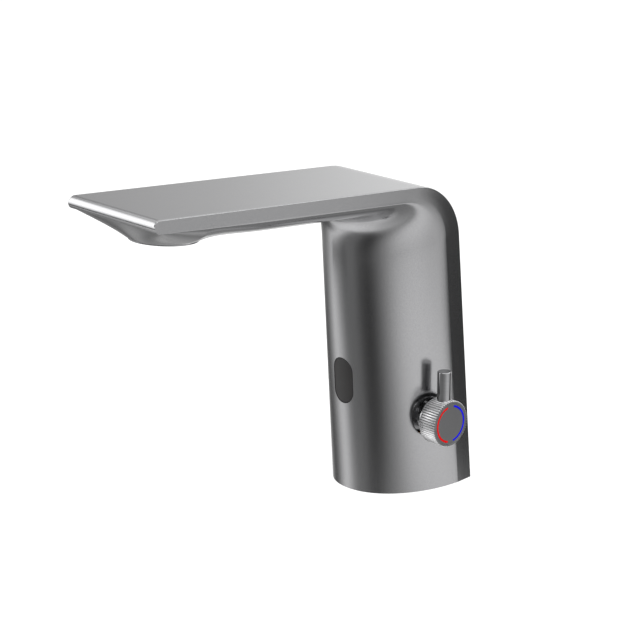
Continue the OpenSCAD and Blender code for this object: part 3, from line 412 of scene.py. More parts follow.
def rod_piece(r, z0, z1, frame_of):
    """A closed cylinder from z0 to z1 in the given frame, to cut with."""
    bm = bmesh.new()
    bmesh.ops.create_cone(bm, cap_ends=True, segments=96, radius1=r, radius2=r, depth=z1 - z0)
    bmesh.ops.translate(bm, verts=bm.verts, vec=(0, 0, (z0 + z1) / 2))
    bmesh.ops.transform(bm, matrix=frame_of, verts=bm.verts)
    return piece_from(closed(bm), "tool")


def turned_piece(outline, frame_of, name):
    """A closed form turned round the frame's z axis, from an outline of (radius, height) points."""
    bm = bmesh.new()
    verts = [bmesh.ops.create_vert(bm, co=(r, 0, z))["vert"][0] for r, z in outline]
    edges = [bm.edges.new(pair) for pair in zip(verts, verts[1:])]
    bmesh.ops.spin(bm, geom=verts + edges, axis=(0, 0, 1), cent=(0, 0, 0), steps=128,
                   angle=math.radians(360), use_merge=True)
    bmesh.ops.remove_doubles(bm, verts=bm.verts, dist=0.001)
    bmesh.ops.transform(bm, matrix=frame_of, verts=bm.verts)
    return piece_from(closed(bm), name)


# Finishes

class Reading:
    """What a node gives, so that sums over it are written as sums."""

    def __init__(self, tree, socket):
        self.tree = tree
        self.socket = socket

    def worked(self, operation, first, second=0.0):
        node = self.tree.nodes.new("ShaderNodeMath")
        node.operation = operation
        for socket, value in zip(node.inputs, (first, second)):
            feed(self.tree, socket, value)
        return Reading(self.tree, node.outputs[0])

    def __add__(self, other):
        return self.worked("ADD", self, other)

    def __radd__(self, other):
        return self.worked("ADD", other, self)

    def __sub__(self, other):
        return self.worked("SUBTRACT", self, other)

    def __rsub__(self, other):
        return self.worked("SUBTRACT", other, self)

    def __mul__(self, other):
        return self.worked("MULTIPLY", self, other)

    def __rmul__(self, other):
        return self.worked("MULTIPLY", other, self)

    def __truediv__(self, other):
        return self.worked("DIVIDE", self, other)

    def sine(self):
        return self.worked("SINE", self)

    def above(self, limit):
        return self.worked("GREATER_THAN", self, limit)

    def at_least(self, limit):
        return self.worked("MAXIMUM", self, limit)

    def angle_from(self, ahead):
        """Angle that this makes with ahead, from 0 straight ahead up to half a turn to each side."""
        return self.worked("ARCTAN2", self, ahead)


def feed(tree, socket, value):
    """Links a reading to a socket, or sets the socket to a plain value."""
    if isinstance(value, Reading):
        tree.links.new(value.socket, socket)
    else:
        socket.default_value = value


class Finish:
    """One procedural finish, on the piece's own Object coordinates, in metres."""

    def __init__(self, name, metal=0.0, **plain):
        self.name = name
        self.material = bpy.data.materials.new(name + "_finish")
        self.material.use_nodes = True
        self.tree = self.material.node_tree
        self.tree.nodes.clear()
        self.shader = self.tree.nodes.new("ShaderNodeBsdfPrincipled")
        end = self.tree.nodes.new("ShaderNodeOutputMaterial")
        self.tree.links.new(self.shader.outputs[0], end.inputs["Surface"])
        self.place = self.node("ShaderNodeTexCoord", out="Object")
        self.set("Metallic", metal)
        for socket, value in plain.items():
            self.set(socket.replace("_", " "), value)

    def node(self, kind, settings={}, values={}, out=0):
        """Adds a node, sets it up, feeds it and gives the reading of one of its outputs."""
        node = self.tree.nodes.new(kind)
        for key, value in settings.items():
            if key == "stops":
                stops = node.color_ramp.elements
                while len(stops) < len(value):
                    stops.new(1.0)
                for stop, (at, colour) in zip(stops, value):
                    stop.position = at
                    stop.color = colour
            else:
                setattr(node, key, value)
        for key, value in values.items():
            feed(self.tree, node.inputs[key], value)
        return Reading(self.tree, node.outputs[out])

    def set(self, socket, value):
        feed(self.tree, self.shader.inputs[socket], value)

    def noise(self, scale, detail=2.0, rough=0.5, stretch=None):
        """Noise of about 1/scale metres, drawn out along an axis by stretch."""
        place = self.place
        if stretch:
            place = self.node("ShaderNodeMapping", values={"Vector": place, "Scale": stretch})
        return self.node("ShaderNodeTexNoise",
                         values={"Vector": place, "Scale": scale, "Detail": detail,
                                 "Roughness": rough})

    def cells(self, scale):
        return self.node("ShaderNodeTexVoronoi", values={"Vector": self.place, "Scale": scale})

    def between(self, reading, low, high):
        """0 below low, 1 above high, smooth between them."""
        return self.node("ShaderNodeMapRange", {"interpolation_type": "SMOOTHSTEP"},
                         {"Value": reading, "From Min": low, "From Max": high})

    def blended(self, share, a, b):
        return self.node("ShaderNodeMix", {"data_type": "RGBA"},
                         {0: share, 6: a, 7: b}, out=2)

    def coordinate(self, axis):
        return self.node("ShaderNodeSeparateXYZ", values={"Vector": self.place}, out=axis)

    def distance(self, spot, flat=(1.0, 1.0, 1.0)):
        """Distance of a point of the piece from a spot, along the axes kept in flat."""
        apart = self.node("ShaderNodeVectorMath", {"operation": "SUBTRACT"},
                          {0: self.place, 1: spot})
        kept = self.node("ShaderNodeVectorMath", {"operation": "MULTIPLY"}, {0: apart, 1: flat})
        return self.node("ShaderNodeVectorMath", {"operation": "LENGTH"}, {0: kept}, out="Value")

    def bumped(self, height, depth):
        """Raises the surface by the height reading, depth in millimetres."""
        self.set("Normal", self.node("ShaderNodeBump",
                                     values={"Height": height, "Distance": depth * MM}))


# The tap's finishes, one for each slot

def satin_casting():
    """Gunmetal coating on a blasted casting: even, with a fine sparkle."""
    f = Finish("satin_casting", 1.0)
    grain = f.noise(2600, 2.0, 0.6)
    cloud = f.noise(16)
    f.set("Base Color", f.blended(f.between(grain, 0.3, 0.7), (0.415, 0.415, 0.425, 1),
                                  (0.47, 0.47, 0.475, 1)))
    f.set("Roughness", 0.165 + 0.03 * cloud + 0.03 * grain)
    f.bumped(grain, 0.002)
    return f


def knurled_metal():
    """Straight knurling, with painted shade darkening the flutes and a painted sheen brightening its
    ridges.
    """
    f = Finish("knurled_metal", 1.0)
    out = f.distance((0.0, KNOB_Y * MM, KNOB_Z * MM), (0.0, 1.0, 1.0))
    # Painted shade and sheen mask: 0 down in the flutes (painted shade), 1 on the ridges (painted
    # sheen); the sleeve's end face keeps at least 0.3
    ridge_sheen_vs_flute_shade = f.between(out, (KNOB_R - FLUTE_DEPTH) * MM, (KNOB_R - 0.3 * FLUTE_DEPTH) * MM)
    ridge_sheen_vs_flute_shade = ridge_sheen_vs_flute_shade.at_least(0.3 * f.coordinate(0).above((KNOB_X - 0.1) * MM))
    grain = f.noise(2200)
    # The near-black flute colour is painted shade, the bright ridge colour painted sheen
    f.set("Base Color", f.blended(ridge_sheen_vs_flute_shade, (0.06, 0.06, 0.065, 1), (0.9, 0.9, 0.91, 1)))
    f.set("Roughness", 0.5 - 0.1 * ridge_sheen_vs_flute_shade + 0.06 * grain)
    f.bumped(grain, 0.004)
    return f


def knob_face_metal():
    """Faced on a lathe: rings too fine to count, under a satin coat."""
    f = Finish("knob_face_metal", 1.0)
    out = f.distance((KNOB_X * MM, KNOB_Y * MM, KNOB_Z * MM))
    rings = (out * 24000).sine()
    grain = f.noise(1800)
    f.set("Base Color", f.blended(grain, (0.2, 0.2, 0.205, 1), (0.28, 0.28, 0.285, 1)))
    f.set("Roughness", 0.36 + 0.08 * grain)
    f.bumped(rings + grain, 0.002)
    return f


def pin_metal():
    """Ground rod, with the faint rings that its grinding leaves."""
    f = Finish("pin_metal", 1.0)
    rings = f.noise(900, 1.0, 0.5, (0.05, 0.05, 1.0))
    f.set("Base Color", f.blended(rings, (0.4, 0.4, 0.41, 1), (0.52, 0.52, 0.53, 1)))
    f.set("Roughness", 0.06 + 0.05 * rings)
    f.bumped(rings, 0.002)
    return f


def machined(name, dark, bright, rough, scale=1200, stretch=None):
    """Plain metal off a machine: fine marks and a slightly uneven shade."""
    f = Finish(name, 1.0)
    marks = f.noise(scale, 2.0, 0.6, stretch)
    cloud = f.noise(120)
    f.set("Base Color", f.blended(cloud, dark, bright))
    f.set("Roughness", rough - 0.05 + 0.12 * marks)
    f.bumped(marks, 0.003)
    return f


def moulded(name, dark, bright, rough, grain=900, depth=0.006, **plain):
    """Moulded plastic, rubber or resin with the mould's fine grain."""
    f = Finish(name, **plain)
    skin = f.noise(grain, 2.0, 0.55)
    flow = f.noise(90)
    f.set("Base Color", f.blended(flow, dark, bright))
    f.set("Roughness", rough - 0.04 + 0.1 * skin)
    f.bumped(skin, depth)
    return f


def enamel(name, colour):
    """Filled colour in the face's grooves, slightly sunk and uneven."""
    f = Finish(name, Specular_IOR_Level=0.15)
    flow = f.noise(700)
    worn = [0.9 * c for c in colour[:3]] + [1]
    f.set("Base Color", f.blended(f.between(flow, 0.2, 0.8), worn, colour))
    f.set("Roughness", 0.3 + 0.12 * flow)
    f.bumped(flow, 0.01)
    return f


def board_laminate():
    """Green mask over copper tracks."""
    f = Finish("board_laminate")
    tracks = f.between(f.cells(700), 0.52, 0.58)
    weave = f.noise(2600)
    f.set("Base Color", f.blended(tracks, (0.01, 0.13, 0.045, 1), (0.03, 0.22, 0.07, 1)))
    f.set("Roughness", 0.26 + 0.12 * weave)
    f.bumped(tracks, 0.03)
    return f


def coil_resin():
    """Moulded coil, dark and finely speckled with its glass filling."""
    f = Finish("coil_resin")
    flecks = f.between(f.cells(2500), 0.1, 0.3)
    skin = f.noise(800)
    f.set("Base Color", f.blended(flecks, (0.07, 0.075, 0.08, 1), (0.02, 0.022, 0.025, 1)))
    f.set("Roughness", 0.4 + 0.12 * skin)
    f.bumped(skin, 0.01)
    return f


def zinc_steel():
    """Zinc-plated steel with its pale, broken sheen."""
    f = Finish("zinc_steel", 1.0)
    spangle = f.cells(260)
    f.set("Base Color", f.blended(spangle, (0.6, 0.62, 0.66, 1), (0.74, 0.73, 0.68, 1)))
    f.set("Roughness", 0.28 + 0.2 * spangle)
    f.bumped(f.noise(1300), 0.003)
    return f


def all_finishes():
    made = [satin_casting(), knurled_metal(), knob_face_metal(), pin_metal(), board_laminate(),
            coil_resin(), zinc_steel()]
    steel = (0.56, 0.56, 0.57, 1), (0.66, 0.66, 0.67, 1)
    made.append(machined("screw_steel", *steel, 0.26))
    made.append(machined("valve_steel", *steel, 0.3, 900, (1.0, 1.0, 8.0)))
    made.append(machined("ring_metal", (0.3, 0.3, 0.31, 1), (0.42, 0.42, 0.43, 1), 0.22))
    made.append(machined("plain_brass", (0.66, 0.47, 0.2, 1), (0.76, 0.58, 0.28, 1), 0.3))
    made.append(enamel("hot_enamel", (0.8, 0.0, 0.0, 1)))
    made.append(enamel("cold_enamel", (0.0, 0.0, 0.8, 1)))
    made.append(moulded("seal_rubber", (0.018, 0.018, 0.018, 1), (0.035, 0.035, 0.035, 1), 0.6))
    made.append(moulded("window_plastic", (0.03, 0.029, 0.029, 1), (0.038, 0.036, 0.036, 1), 0.32,
                        260, 0.003, Specular_IOR_Level=0.4))
    made.append(moulded("housing_plastic", (0.035, 0.035, 0.038, 1), (0.06, 0.06, 0.062, 1), 0.5))
    made.append(moulded("diode_resin", (0.2, 0.26, 0.5, 1), (0.3, 0.36, 0.6, 1), 0.12, 300, 0.002,
                        Coat_Weight=0.4))
    made.append(moulded("filter_resin", (0.02, 0.01, 0.03, 1), (0.04, 0.02, 0.05, 1), 0.12, 300, 0.002,
                        Coat_Weight=0.4))
    made.append(moulded("ivory_plastic", (0.7, 0.64, 0.5, 1), (0.78, 0.73, 0.6, 1), 0.4))
    made.append(moulded("valve_plastic", (0.02, 0.02, 0.022, 1), (0.05, 0.05, 0.053, 1), 0.42, 1400,
                        0.01))
    made.append(moulded("tube_plastic", (0.72, 0.74, 0.76, 1), (0.8, 0.82, 0.83, 1), 0.32, 400, 0.004))
    made.append(moulded("insert_plastic", (0.5, 0.51, 0.52, 1), (0.6, 0.61, 0.62, 1), 0.38))
    return {f.name: f.material for f in made}


FINISHES = all_finishes()
SLOTS = {part["node"]: part["material_slot"] for part in frame["record"]["subparts"]}


def dressed(piece, node):
    """Gives a new piece its node's finish and body, and hides the node that it stands in for."""
    piece.data.materials.clear()
    piece.data.materials.append(FINISHES[SLOTS[node]])
    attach(piece, body_of(NODES[node])[0])
    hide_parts(node)


# The casting

HOLLOW_STEPS = 32
# The hollow's straight sides are at least this deep
LEAST_SIDE = 0.8
# From the corner of the strip and the plate down to the roof of the hollow
ROOF_DROP = 30.8
# What the cutting tools stand out past the face that they cut
OVERRUN = 1.0
# The aerator's bore and the narrower waterway above it start this far below the plate's top
AERATOR_TOP = 7.2
WATERWAY_TOP = 4.2
WATERWAY_WALL = 1.5
AERATOR_CLEARANCE = 0.05
TOOL_LEN = 40
MOUTH_EASE = 0.25
# The hole for the knob's neck, from inside the casting's wall outward
NECK_CUT_IN = 10
NECK_CUT_LEN = 20
# How far the window lies back from the skin, and its flange behind the pocket's floor
WINDOW_SINK = 0.15
WINDOW_FLANGE = 3.8
WINDOW_FLANGE_FRONT = 0.8
WINDOW_FLANGE_BACK = 2.0
POCKET_Y = FRONT_Y - WINDOW_Z * math.tan(math.radians(FRONT_LEAN)) + WINDOW_DEPTH


def hollow_outline(z):
    """Outline of the hollow at height z: flat back, straight sides and a swelling front."""
    back = BACK_Y - BACK_WALL_T - z * math.tan(math.radians(BACK_LEAN))
    crease = min(CREASE_Y - z * math.tan(math.radians(BACK_LEAN)), back - LEAST_SIDE)
    front = FRONT_Y - z * math.tan(math.radians(FRONT_LEAN)) + WALL_T
    w = STRIP_HALF_W - WALL_T
    points = [Vector((w, back, z))]
    for j in range(HOLLOW_STEPS + 1):
        x, s = swell_share(COLUMN_ROUND, j, HOLLOW_STEPS)
        points.append(Vector((w * x, crease + (front - crease) * s, z)))
    return points + [Vector((-w, back, z))]


def grown(points, by):
    """The outline stretched about its middle, so that each side lies further out by a distance."""
    middle = sum(points, Vector()) / len(points)
    wide = max(p.x for p in points)
    deep = max(p.y for p in points) - min(p.y for p in points)
    return [Vector((p.x * (1 + by / wide), middle.y + (p.y - middle.y) * (1 + 2 * by / deep), p.z))
            for p in points]


def stadium(w, h, y):
    """Upright outline with round ends, at the window's height."""
    points = []
    for i in range(64):
        a = 2 * math.pi * (i + 0.5) / 64
        z = WINDOW_Z + w / 2 * math.sin(a) + math.copysign((h - w) / 2, math.sin(a))
        points.append(Vector((w / 2 * math.cos(a), y, z)))
    return points


def outlet_rim():
    """The pod's round mouth, with its edge broken."""
    depth = PLATE_T + POD_DEPTH
    mid = 0.32 * MOUTH_EASE
    return turned_piece([(0, PLATE_T - OVERRUN), (POD_R, PLATE_T - OVERRUN), (POD_R, depth - MOUTH_EASE),
                         (POD_R - mid, depth - mid), (POD_R - MOUTH_EASE, depth), (0, depth)],
                        on_plate(POD_D), "rim")


def casting():
    """The skin with its pod's mouth, and the window's pocket, the hollow and the bores cut out."""
    piece = lofted(casting_rings(), "casting")
    cut(piece, outlet_rim(), "UNION")
    cut(piece, lofted([stadium(WINDOW_W + 2 * WINDOW_GAP, WINDOW_H + 2 * WINDOW_GAP, y)
                       for y in (2 * FRONT_Y, FRONT_Y / 2)], "tool"))
    cut(piece, lofted([hollow_outline(-OVERRUN), hollow_outline(CORNER_H - ROOF_DROP)], "tool"))
    ledge = grown(hollow_outline(BASE_T), BASE_LEDGE)
    cut(piece, lofted([[Vector((p.x, p.y, z)) for p in ledge] for z in (-OVERRUN, BASE_T)], "tool"))
    cut(piece, rod_piece(AERATOR_R + AERATOR_CLEARANCE, AERATOR_TOP, TOOL_LEN, on_plate(POD_D)))
    cut(piece, rod_piece(AERATOR_R - WATERWAY_WALL, WATERWAY_TOP, TOOL_LEN, on_plate(POD_D)))
    cut(piece, rod_piece(NECK_HOLE_R, 0, NECK_CUT_LEN, along_knob(HALF_W - NECK_CUT_IN)))
    shaded(piece)
    dressed(piece, "tap_body")


def sensor_window():
    """Dark window whose front follows the column's skin."""
    piece = lofted([stadium(WINDOW_W, WINDOW_H, y)
                    for y in (2 * FRONT_Y, POCKET_Y + WINDOW_FLANGE_FRONT / 2)], "sensor_glass")
    skin = lofted(casting_rings(), "skin")
    skin.data.transform(Matrix.Translation((0, WINDOW_SINK * MM, 0)))
    cut(piece, skin, "INTERSECT")
    cut(piece, lofted([stadium(WINDOW_W + WINDOW_FLANGE, WINDOW_H + WINDOW_FLANGE, POCKET_Y + y)
                       for y in (WINDOW_FLANGE_FRONT, WINDOW_FLANGE_BACK)], "tool"), "UNION")
    shaded(piece)
    dressed(piece, "sensor_window")


# The knob

FLUTE_POINTS = 10
GROOVE_SHARE = 0.6
KNOB_IN_X = KNOB_X - KNOB_LEN
FACE_R = KNOB_R - 1.05
FACE_GAP = 0.02
FACE_EASE = 0.08
FACE_SEAT = 0.75
BORE_R = 3.02
BORE_STOP = 3.0
SKIRT_DEPTH = 1.2
SKIRT_WALL = 2.0
# Steps of an eased rim: drop of the radius, distance from the end, share of the grooves' depth
INNER_RIM = [(0.55, 0.0, 0.3), (0.18, 0.12, 0.8), (0.0, 0.4, 1.0)]
OUTER_RIM = [(0.0, 0.4, 1.0), (0.16, 0.12, 1.0), (0.45, 0.0, 0.8)]
PIN_R = 3.0
PIN_X = KNOB_X - 4.3
PIN_FOOT = 3.55
PIN_TOP = 22.6
PIN_HOLE_FOOT = 3.4
PIN_HOLE_GAP = 0.01
GRUB_HOLE_R = 1.51
GRUB_HOLE_TOP = -3.2
# The collar and its neck, along the knob's axis from the tap's middle
COLLAR_BORE_R = 3.55
COLLAR_R = KNOB_R - 1.5
COLLAR_X = 28.3
COLLAR_END_X = 29.77
NECK_ROOT_R = 7.4
NECK_ROOT_X = 21.0
NECK_R = 5.4
NECK_X = 24.4


def knob_loop(r, x, knurl=0.0):
    """A loop of the knob's sleeve, with that share of the depth of the grooves between its ridges."""
    count = FLUTES * FLUTE_POINTS
    points = []
    for i in range(count):
        a = 2 * math.pi * i / count
        off_groove = 1 - abs(i % FLUTE_POINTS * 2 / FLUTE_POINTS - 1)
        out = r - knurl * FLUTE_DEPTH * max(0.0, 1 - off_groove / GROOVE_SHARE)
        points.append(Vector((x, KNOB_Y + out * math.sin(a), KNOB_Z + out * math.cos(a))))
    return points


def knob_sleeve():
    """Knurled sleeve with a toothed, chamfered rim round the face's seat."""
    seat_r = FACE_R + FACE_GAP
    piece = lofted(
        [knob_loop(BORE_R, KNOB_X - BORE_STOP), knob_loop(BORE_R, KNOB_IN_X + SKIRT_DEPTH),
         knob_loop(KNOB_R - SKIRT_WALL, KNOB_IN_X + SKIRT_DEPTH),
         knob_loop(KNOB_R - SKIRT_WALL, KNOB_IN_X)]
        + [knob_loop(KNOB_R - drop, KNOB_IN_X + off, knurl) for drop, off, knurl in INNER_RIM]
        + [knob_loop(KNOB_R - drop, KNOB_X - off, knurl) for drop, off, knurl in OUTER_RIM]
        + [knob_loop(seat_r + FACE_EASE, KNOB_X), knob_loop(seat_r, KNOB_X - FACE_EASE),
           knob_loop(seat_r, KNOB_X - FACE_SEAT)], "knurled_sleeve")
    upright = Matrix.Translation((PIN_X, KNOB_Y, KNOB_Z))
    cut(piece, rod_piece(PIN_R + PIN_HOLE_GAP, PIN_HOLE_FOOT, 2 * KNOB_R, upright))
    cut(piece, rod_piece(GRUB_HOLE_R, -2 * KNOB_R, GRUB_HOLE_TOP, upright))
    shaded(piece, 40)
    dressed(piece, "knob_sleeve")


def lever_pin():
    """Round pin with a chamfered top."""
    piece = turned_piece([(0, PIN_FOOT), (PIN_R, PIN_FOOT), (PIN_R, PIN_TOP - 0.34),
                          (PIN_R - 0.06, PIN_TOP - 0.2), (PIN_R - 0.3, PIN_TOP),
                          (PIN_R - 0.6, PIN_TOP), (0, PIN_TOP)],
                         Matrix.Translation((PIN_X, KNOB_Y, KNOB_Z)), "temperature_pin")
    shaded(piece)
    dressed(piece, "lever_pin")


def knob_collar():
    """Collar with eased rims on its waisted neck."""
    piece = turned_piece([(COLLAR_BORE_R, NECK_ROOT_X), (NECK_ROOT_R, NECK_ROOT_X),
                          (NECK_ROOT_R, NECK_X - 0.8), (NECK_R, NECK_X), (NECK_R, COLLAR_X),
                          (COLLAR_R - 0.3, COLLAR_X), (COLLAR_R, COLLAR_X + 0.2),
                          (COLLAR_R, COLLAR_END_X - 0.17), (COLLAR_R - 0.2, COLLAR_END_X),
                          (COLLAR_BORE_R, COLLAR_END_X), (COLLAR_BORE_R, NECK_ROOT_X)],
                         along_knob(0), "knob_neck")
    shaded(piece)
    dressed(piece, "knob_collar")


# The valve's spring

SPRING_R = 2.8
SPRING_WIRE_R = 0.28
SPRING_TURNS = 4
SPRING_STEPS = 48


def return_spring():
    """Coil over the plunger, as tall as the spring's solid."""
    low, high = (Vector(corner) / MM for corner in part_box("plunger_spring"))
    steps = SPRING_TURNS * SPRING_STEPS
    rise = high.z - low.z - 2 * SPRING_WIRE_R
    bm = bmesh.new()
    wire_end = Matrix.Translation((SPRING_R, 0, 0)) @ Matrix.Rotation(math.pi / 2, 4, "X")
    bmesh.ops.create_circle(bm, segments=16, radius=SPRING_WIRE_R, matrix=wire_end)
    bmesh.ops.spin(bm, geom=bm.verts[:] + bm.edges[:], axis=(0, 0, 1), cent=(0, 0, 0),
                   dvec=(0, 0, rise / steps), steps=steps, angle=2 * math.pi * SPRING_TURNS)
    middle = (low + high) / 2
    bmesh.ops.translate(bm, verts=bm.verts, vec=(middle.x, middle.y, low.z + SPRING_WIRE_R))
    piece = piece_from(closed(bm), "return_spring")
    shaded(piece)
    dressed(piece, "plunger_spring")
    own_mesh(piece)


# Pieces whose solids have the right shape already

def eased_copy(node, width):
    """A merged copy of a node's solid, smooth on its curves and eased along its edges."""
    bm = bmesh.new()
    bm.from_mesh(NODES[node].data)
    bmesh.ops.remove_doubles(bm, verts=bm.verts, dist=0.003 * MM)
    bmesh.ops.dissolve_limit(bm, angle_limit=math.radians(0.5), verts=bm.verts, edges=bm.edges)
    bmesh.ops.scale(bm, verts=bm.verts, vec=(1 / MM, 1 / MM, 1 / MM))
    piece = piece_from(bm, node + "_eased")
    shaded(piece)
    eased(piece, width)
    dressed(piece, node)


def carried_over(node):
    """The solid itself, in its slot's finish."""
    for holder in NODES[node].material_slots:
        holder.material = FINISHES[SLOTS[node]]


EASED = {"base_plate": 0.2, "base_gasket": 0.1, "cable_grommet": 0.25, "base_screws": 0.12,
         "aerator_housing": 0.15, "knob_face": 0.06, "hot_mark": 0.04, "cold_mark": 0.04,
         "grub_screw": 0.1}

casting()
sensor_window()
knob_sleeve()
lever_pin()
knob_collar()
return_spring()
for name in NODES:
    if name in EASED:
        eased_copy(name, EASED[name])
    elif name not in ("tap_body", "sensor_window", "knob_sleeve", "lever_pin", "knob_collar",
                      "plunger_spring"):
        carried_over(name)


# Studio

def floor():
    """Pale floor that shows white to the camera and keeps a soft shadow; open from below."""
    bm = bmesh.new()
    bmesh.ops.create_grid(bm, x_segments=1, y_segments=1, size=6000)
    bmesh.ops.translate(bm, verts=bm.verts, vec=(0, 0, -0.05))
    piece = piece_from(bm, "floor")
    f = Finish("pale_floor", Roughness=0.9)
    f.set("Base Color", (0.35, 0.35, 0.35, 1))
    seen = f.node("ShaderNodeLightPath", out="Is Camera Ray")
    f.set("Emission Color", (1, 1, 1, 1))
    f.set("Emission Strength", seen * FLOOR_GLOW)
    below = f.node("ShaderNodeNewGeometry", out="Backfacing")
    clear = f.node("ShaderNodeBsdfTransparent")
    shown = f.node("ShaderNodeMixShader", values={0: below, 1: Reading(f.tree, f.shader.outputs[0]),
                                                  2: clear})
    f.tree.links.new(shown.socket, f.tree.nodes["Material Output"].inputs["Surface"])
    piece.data.materials.append(f.material)
    piece.visible_glossy = False


def wall_of(f, share_of_turn, stops):
    """Brightness round the studio's wall, from stops of (degrees from the outlet towards the knob)."""
    return f.node("ShaderNodeValToRGB",
                  {"stops": [((side + 180) / 360, (v, v, v, 1)) for side, v in stops]},
                  {"Fac": share_of_turn})


def glowing(name, **plain):
    """A black surface that only gives light."""
    return Finish(name, Roughness=1.0, Base_Color=(0, 0, 0, 1), **plain)


def only_in_metal(piece, f):
    """The tap's metal mirrors this piece; nothing else sees it."""
    piece.data.materials.append(f.material)
    piece.visible_camera = piece.visible_diffuse = piece.visible_shadow = False


def turn_share(f):
    """How far round the tap a spot lies, as a share of a turn from the back."""
    return 0.5 + f.coordinate(0).angle_from(0 - f.coordinate(1)) / (2 * math.pi)


def studio_wall():
    """Round wall with two soft windows, left and right of the tap, between darker stretches."""
    bm = bmesh.new()
    verts = [bmesh.ops.create_vert(bm, co=(WALL_R, 0, z))["vert"][0] for z in (WALL_LOW, WALL_TOP)]
    bmesh.ops.spin(bm, geom=verts + [bm.edges.new(verts)], axis=(0, 0, 1), cent=(0, 0, 0), steps=96,
                   angle=math.radians(360), use_merge=True)
    f = glowing("studio_wall", Emission_Strength=1.0)
    turn, z = turn_share(f), f.coordinate(2)
    to_level, to_above, upright, to_below = (
        f.between(z, low * MM, high * MM)
        for low, high in (TO_LEVEL, TO_ABOVE, TO_UPRIGHT, TO_BELOW))
    lean = (1 - upright) * (WALL_LEAN / 360)
    below = f.blended(to_below, wall_of(f, turn, TABLE_RIM), wall_of(f, turn, WALL_BELOW))
    level = f.blended(to_level, below, wall_of(f, turn - lean, WALL_LEVEL))
    f.set("Emission Color", f.blended(to_above, level, wall_of(f, turn, WALL_ABOVE)))
    only_in_metal(piece_from(bm, "studio_wall"), f)


def studio_table():
    """Bright table under the tap, uneven towards the wall, that only its metal sees."""
    bm = bmesh.new()
    bmesh.ops.create_circle(bm, cap_ends=True, segments=96, radius=WALL_R)
    bmesh.ops.translate(bm, verts=bm.verts, vec=(0, 0, WALL_LOW))
    f = glowing("studio_table", Emission_Strength=1.0)
    to_rim = f.between(f.distance((0, 0, 0), (1.0, 1.0, 0.0)), TABLE_MIDDLE_R * MM, TABLE_RIM_R * MM)
    rim = wall_of(f, turn_share(f), TABLE_RIM)
    f.set("Emission Color", f.blended(to_rim, (0.9, 0.9, 0.9, 1), rim))
    only_in_metal(piece_from(bm, "studio_table"), f)


def strip_light(name, r, side_from, side_to, low, high, brightness):
    """Upright panel at distance r, which the metal mirrors as a bright bar."""
    a = math.radians(side_from)
    bm = bmesh.new()
    verts = [bmesh.ops.create_vert(bm, co=(r * math.sin(a), -r * math.cos(a), z))["vert"][0]
             for z in (low, high)]
    bmesh.ops.spin(bm, geom=verts + [bm.edges.new(verts)], axis=(0, 0, 1), cent=(0, 0, 0), steps=24,
                   angle=math.radians(side_to - side_from))
    f = glowing(name, Emission_Color=(1, 1, 1, 1))
    z = f.coordinate(2)
    fade_in = f.between(z, low * MM, (low + FADE_IN * (high - low)) * MM)
    fade_out = f.between(z, (high - FADE_OUT * (high - low)) * MM, high * MM)
    f.set("Emission Strength", brightness * fade_in * (1 - fade_out))
    only_in_metal(piece_from(bm, name), f)


def lamp(name, side, rise, reach, size, power):
    """Soft square lamp aimed at the column, which the metal doesn't mirror."""
    light = bpy.data.lights.new(name, "AREA")
    light.energy = power
    light.size = size
    bulb = bpy.data.objects.new(name, light)
    a, e = math.radians(side), math.radians(rise)
    bulb.location = (reach * math.sin(a) * math.cos(e), -reach * math.cos(a) * math.cos(e),
                     reach * math.sin(e) + 0.06)
    bulb.rotation_euler = (math.pi / 2 - e, 0, a)
    bulb.visible_glossy = False
    bpy.context.scene.collection.objects.link(bulb)


def sky():
    """White to the camera and in the metal; an even, lower light on what isn't metal."""
    world = bpy.data.worlds.new("studio")
    world.use_nodes = True
    bpy.context.scene.world = world
    tree = world.node_tree
    path = tree.nodes.new("ShaderNodeLightPath")
    seen = Reading(tree, path.outputs["Is Camera Ray"])
    for ray in ("Is Glossy Ray", "Is Transmission Ray"):
        seen = seen.at_least(Reading(tree, path.outputs[ray]))
    back = tree.nodes["Background"]
    back.inputs["Color"].default_value = (1, 1, 1, 1)
    feed(tree, back.inputs["Strength"], 0.5 + 0.5 * seen)


def camera():
    lens = bpy.data.cameras.new("camera")
    lens.lens = 117.86
    lens.sensor_width = 36
    lens.clip_end = 20
    holder = bpy.data.objects.new("camera", lens)
    holder.location = (0.6226, -0.60393, 0.33613)
    holder.rotation_euler = (math.radians(90 - 17.007), 0, math.radians(47.854))
    bpy.context.scene.collection.objects.link(holder)
    bpy.context.scene.camera = holder


WALL_R = 900
WALL_LOW = -700
WALL_TOP = 800
WALL_LEAN = 20
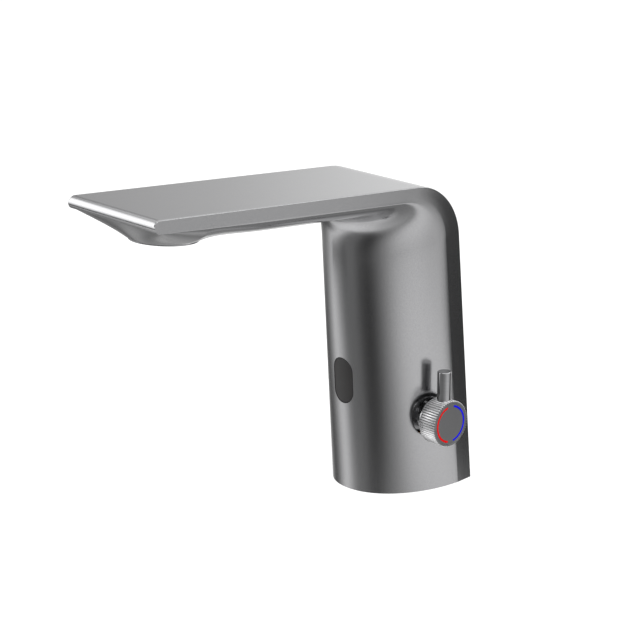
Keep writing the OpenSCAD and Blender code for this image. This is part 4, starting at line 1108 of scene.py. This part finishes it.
# Heights between which the wall's light passes over from one row of stops to the next
TO_BELOW = (-700, -525)
TO_LEVEL = (-546, -364)
TO_UPRIGHT = (-427, -210)
TO_ABOVE = (-248, -88)
TABLE_MIDDLE_R = 135
TABLE_RIM_R = 540
FLOOR_GLOW = 0.8
# Shares of a strip light's height over which it comes up and dies away
FADE_IN = 0.35
FADE_OUT = 0.5
# Rows of stops: degrees from the outlet towards the knob, and brightness there
WALL_LEVEL = [(-180, 0.6), (-150, 1.1), (-139, 1.0), (-129, 0.5), (-118, 0.26), (-106, 0.1),
              (-92, 0.2), (-78, 0.55), (-66, 1.12), (-57, 0.95), (-47, 0.42), (-36, 0.2),
              (-12, 0.22), (3, 0.07), (20, 0.03), (30, 0.1), (42, 0.27), (54, 0.5), (64, 0.74),
              (74, 0.92), (86, 1.02), (105, 1.04), (118, 1.0), (127, 1.0), (131, 0.6), (134, 0.03),
              (165, 0.03), (180, 0.5)]
WALL_BELOW = [(-180, 0.3), (-150, 0.3), (-130, 0.35), (-118, 0.28), (-105, 0.1), (-88, 0.14),
              (-72, 0.38), (-60, 0.85), (-45, 1.0), (-30, 0.9), (-12, 0.35), (10, 0.14), (30, 0.12),
              (50, 0.35), (75, 0.42), (123, 0.36), (136, 0.28), (150, 0.2), (180, 0.3)]
WALL_ABOVE = [(-180, 0.9), (-150, 1.1), (-136, 0.98), (-131, 0.8), (-126, 0.62), (-119, 0.5),
              (-100, 0.35), (-75, 0.45), (-45, 0.25), (20, 0.22), (45, 0.3), (65, 0.45), (95, 0.76),
              (112, 0.66), (120, 0.64), (130, 0.74), (135, 0.42), (140, 0.04), (162, 0.1),
              (180, 0.8)]
TABLE_RIM = [(-180, 0.45), (-152, 0.42), (-140, 0.25), (-124, 0.5), (-105, 0.28), (-85, 0.8),
             (-50, 1.1), (-10, 1.15), (35, 0.95), (60, 0.72), (100, 0.5), (135, 0.32), (180, 0.3)]

floor()
sky()
camera()
studio_wall()
studio_table()
strip_light("nose_light", 400, -60, -24, -30, 560, 2.4)
strip_light("edge_light", 850, 60, 178, 440, 900, 2.6)
lamp("key", 80, 45, 1.1, 0.5, 9)
lamp("fill", -40, 50, 1.2, 0.9, 7)
bpy.context.scene.view_settings.view_transform = "Standard"
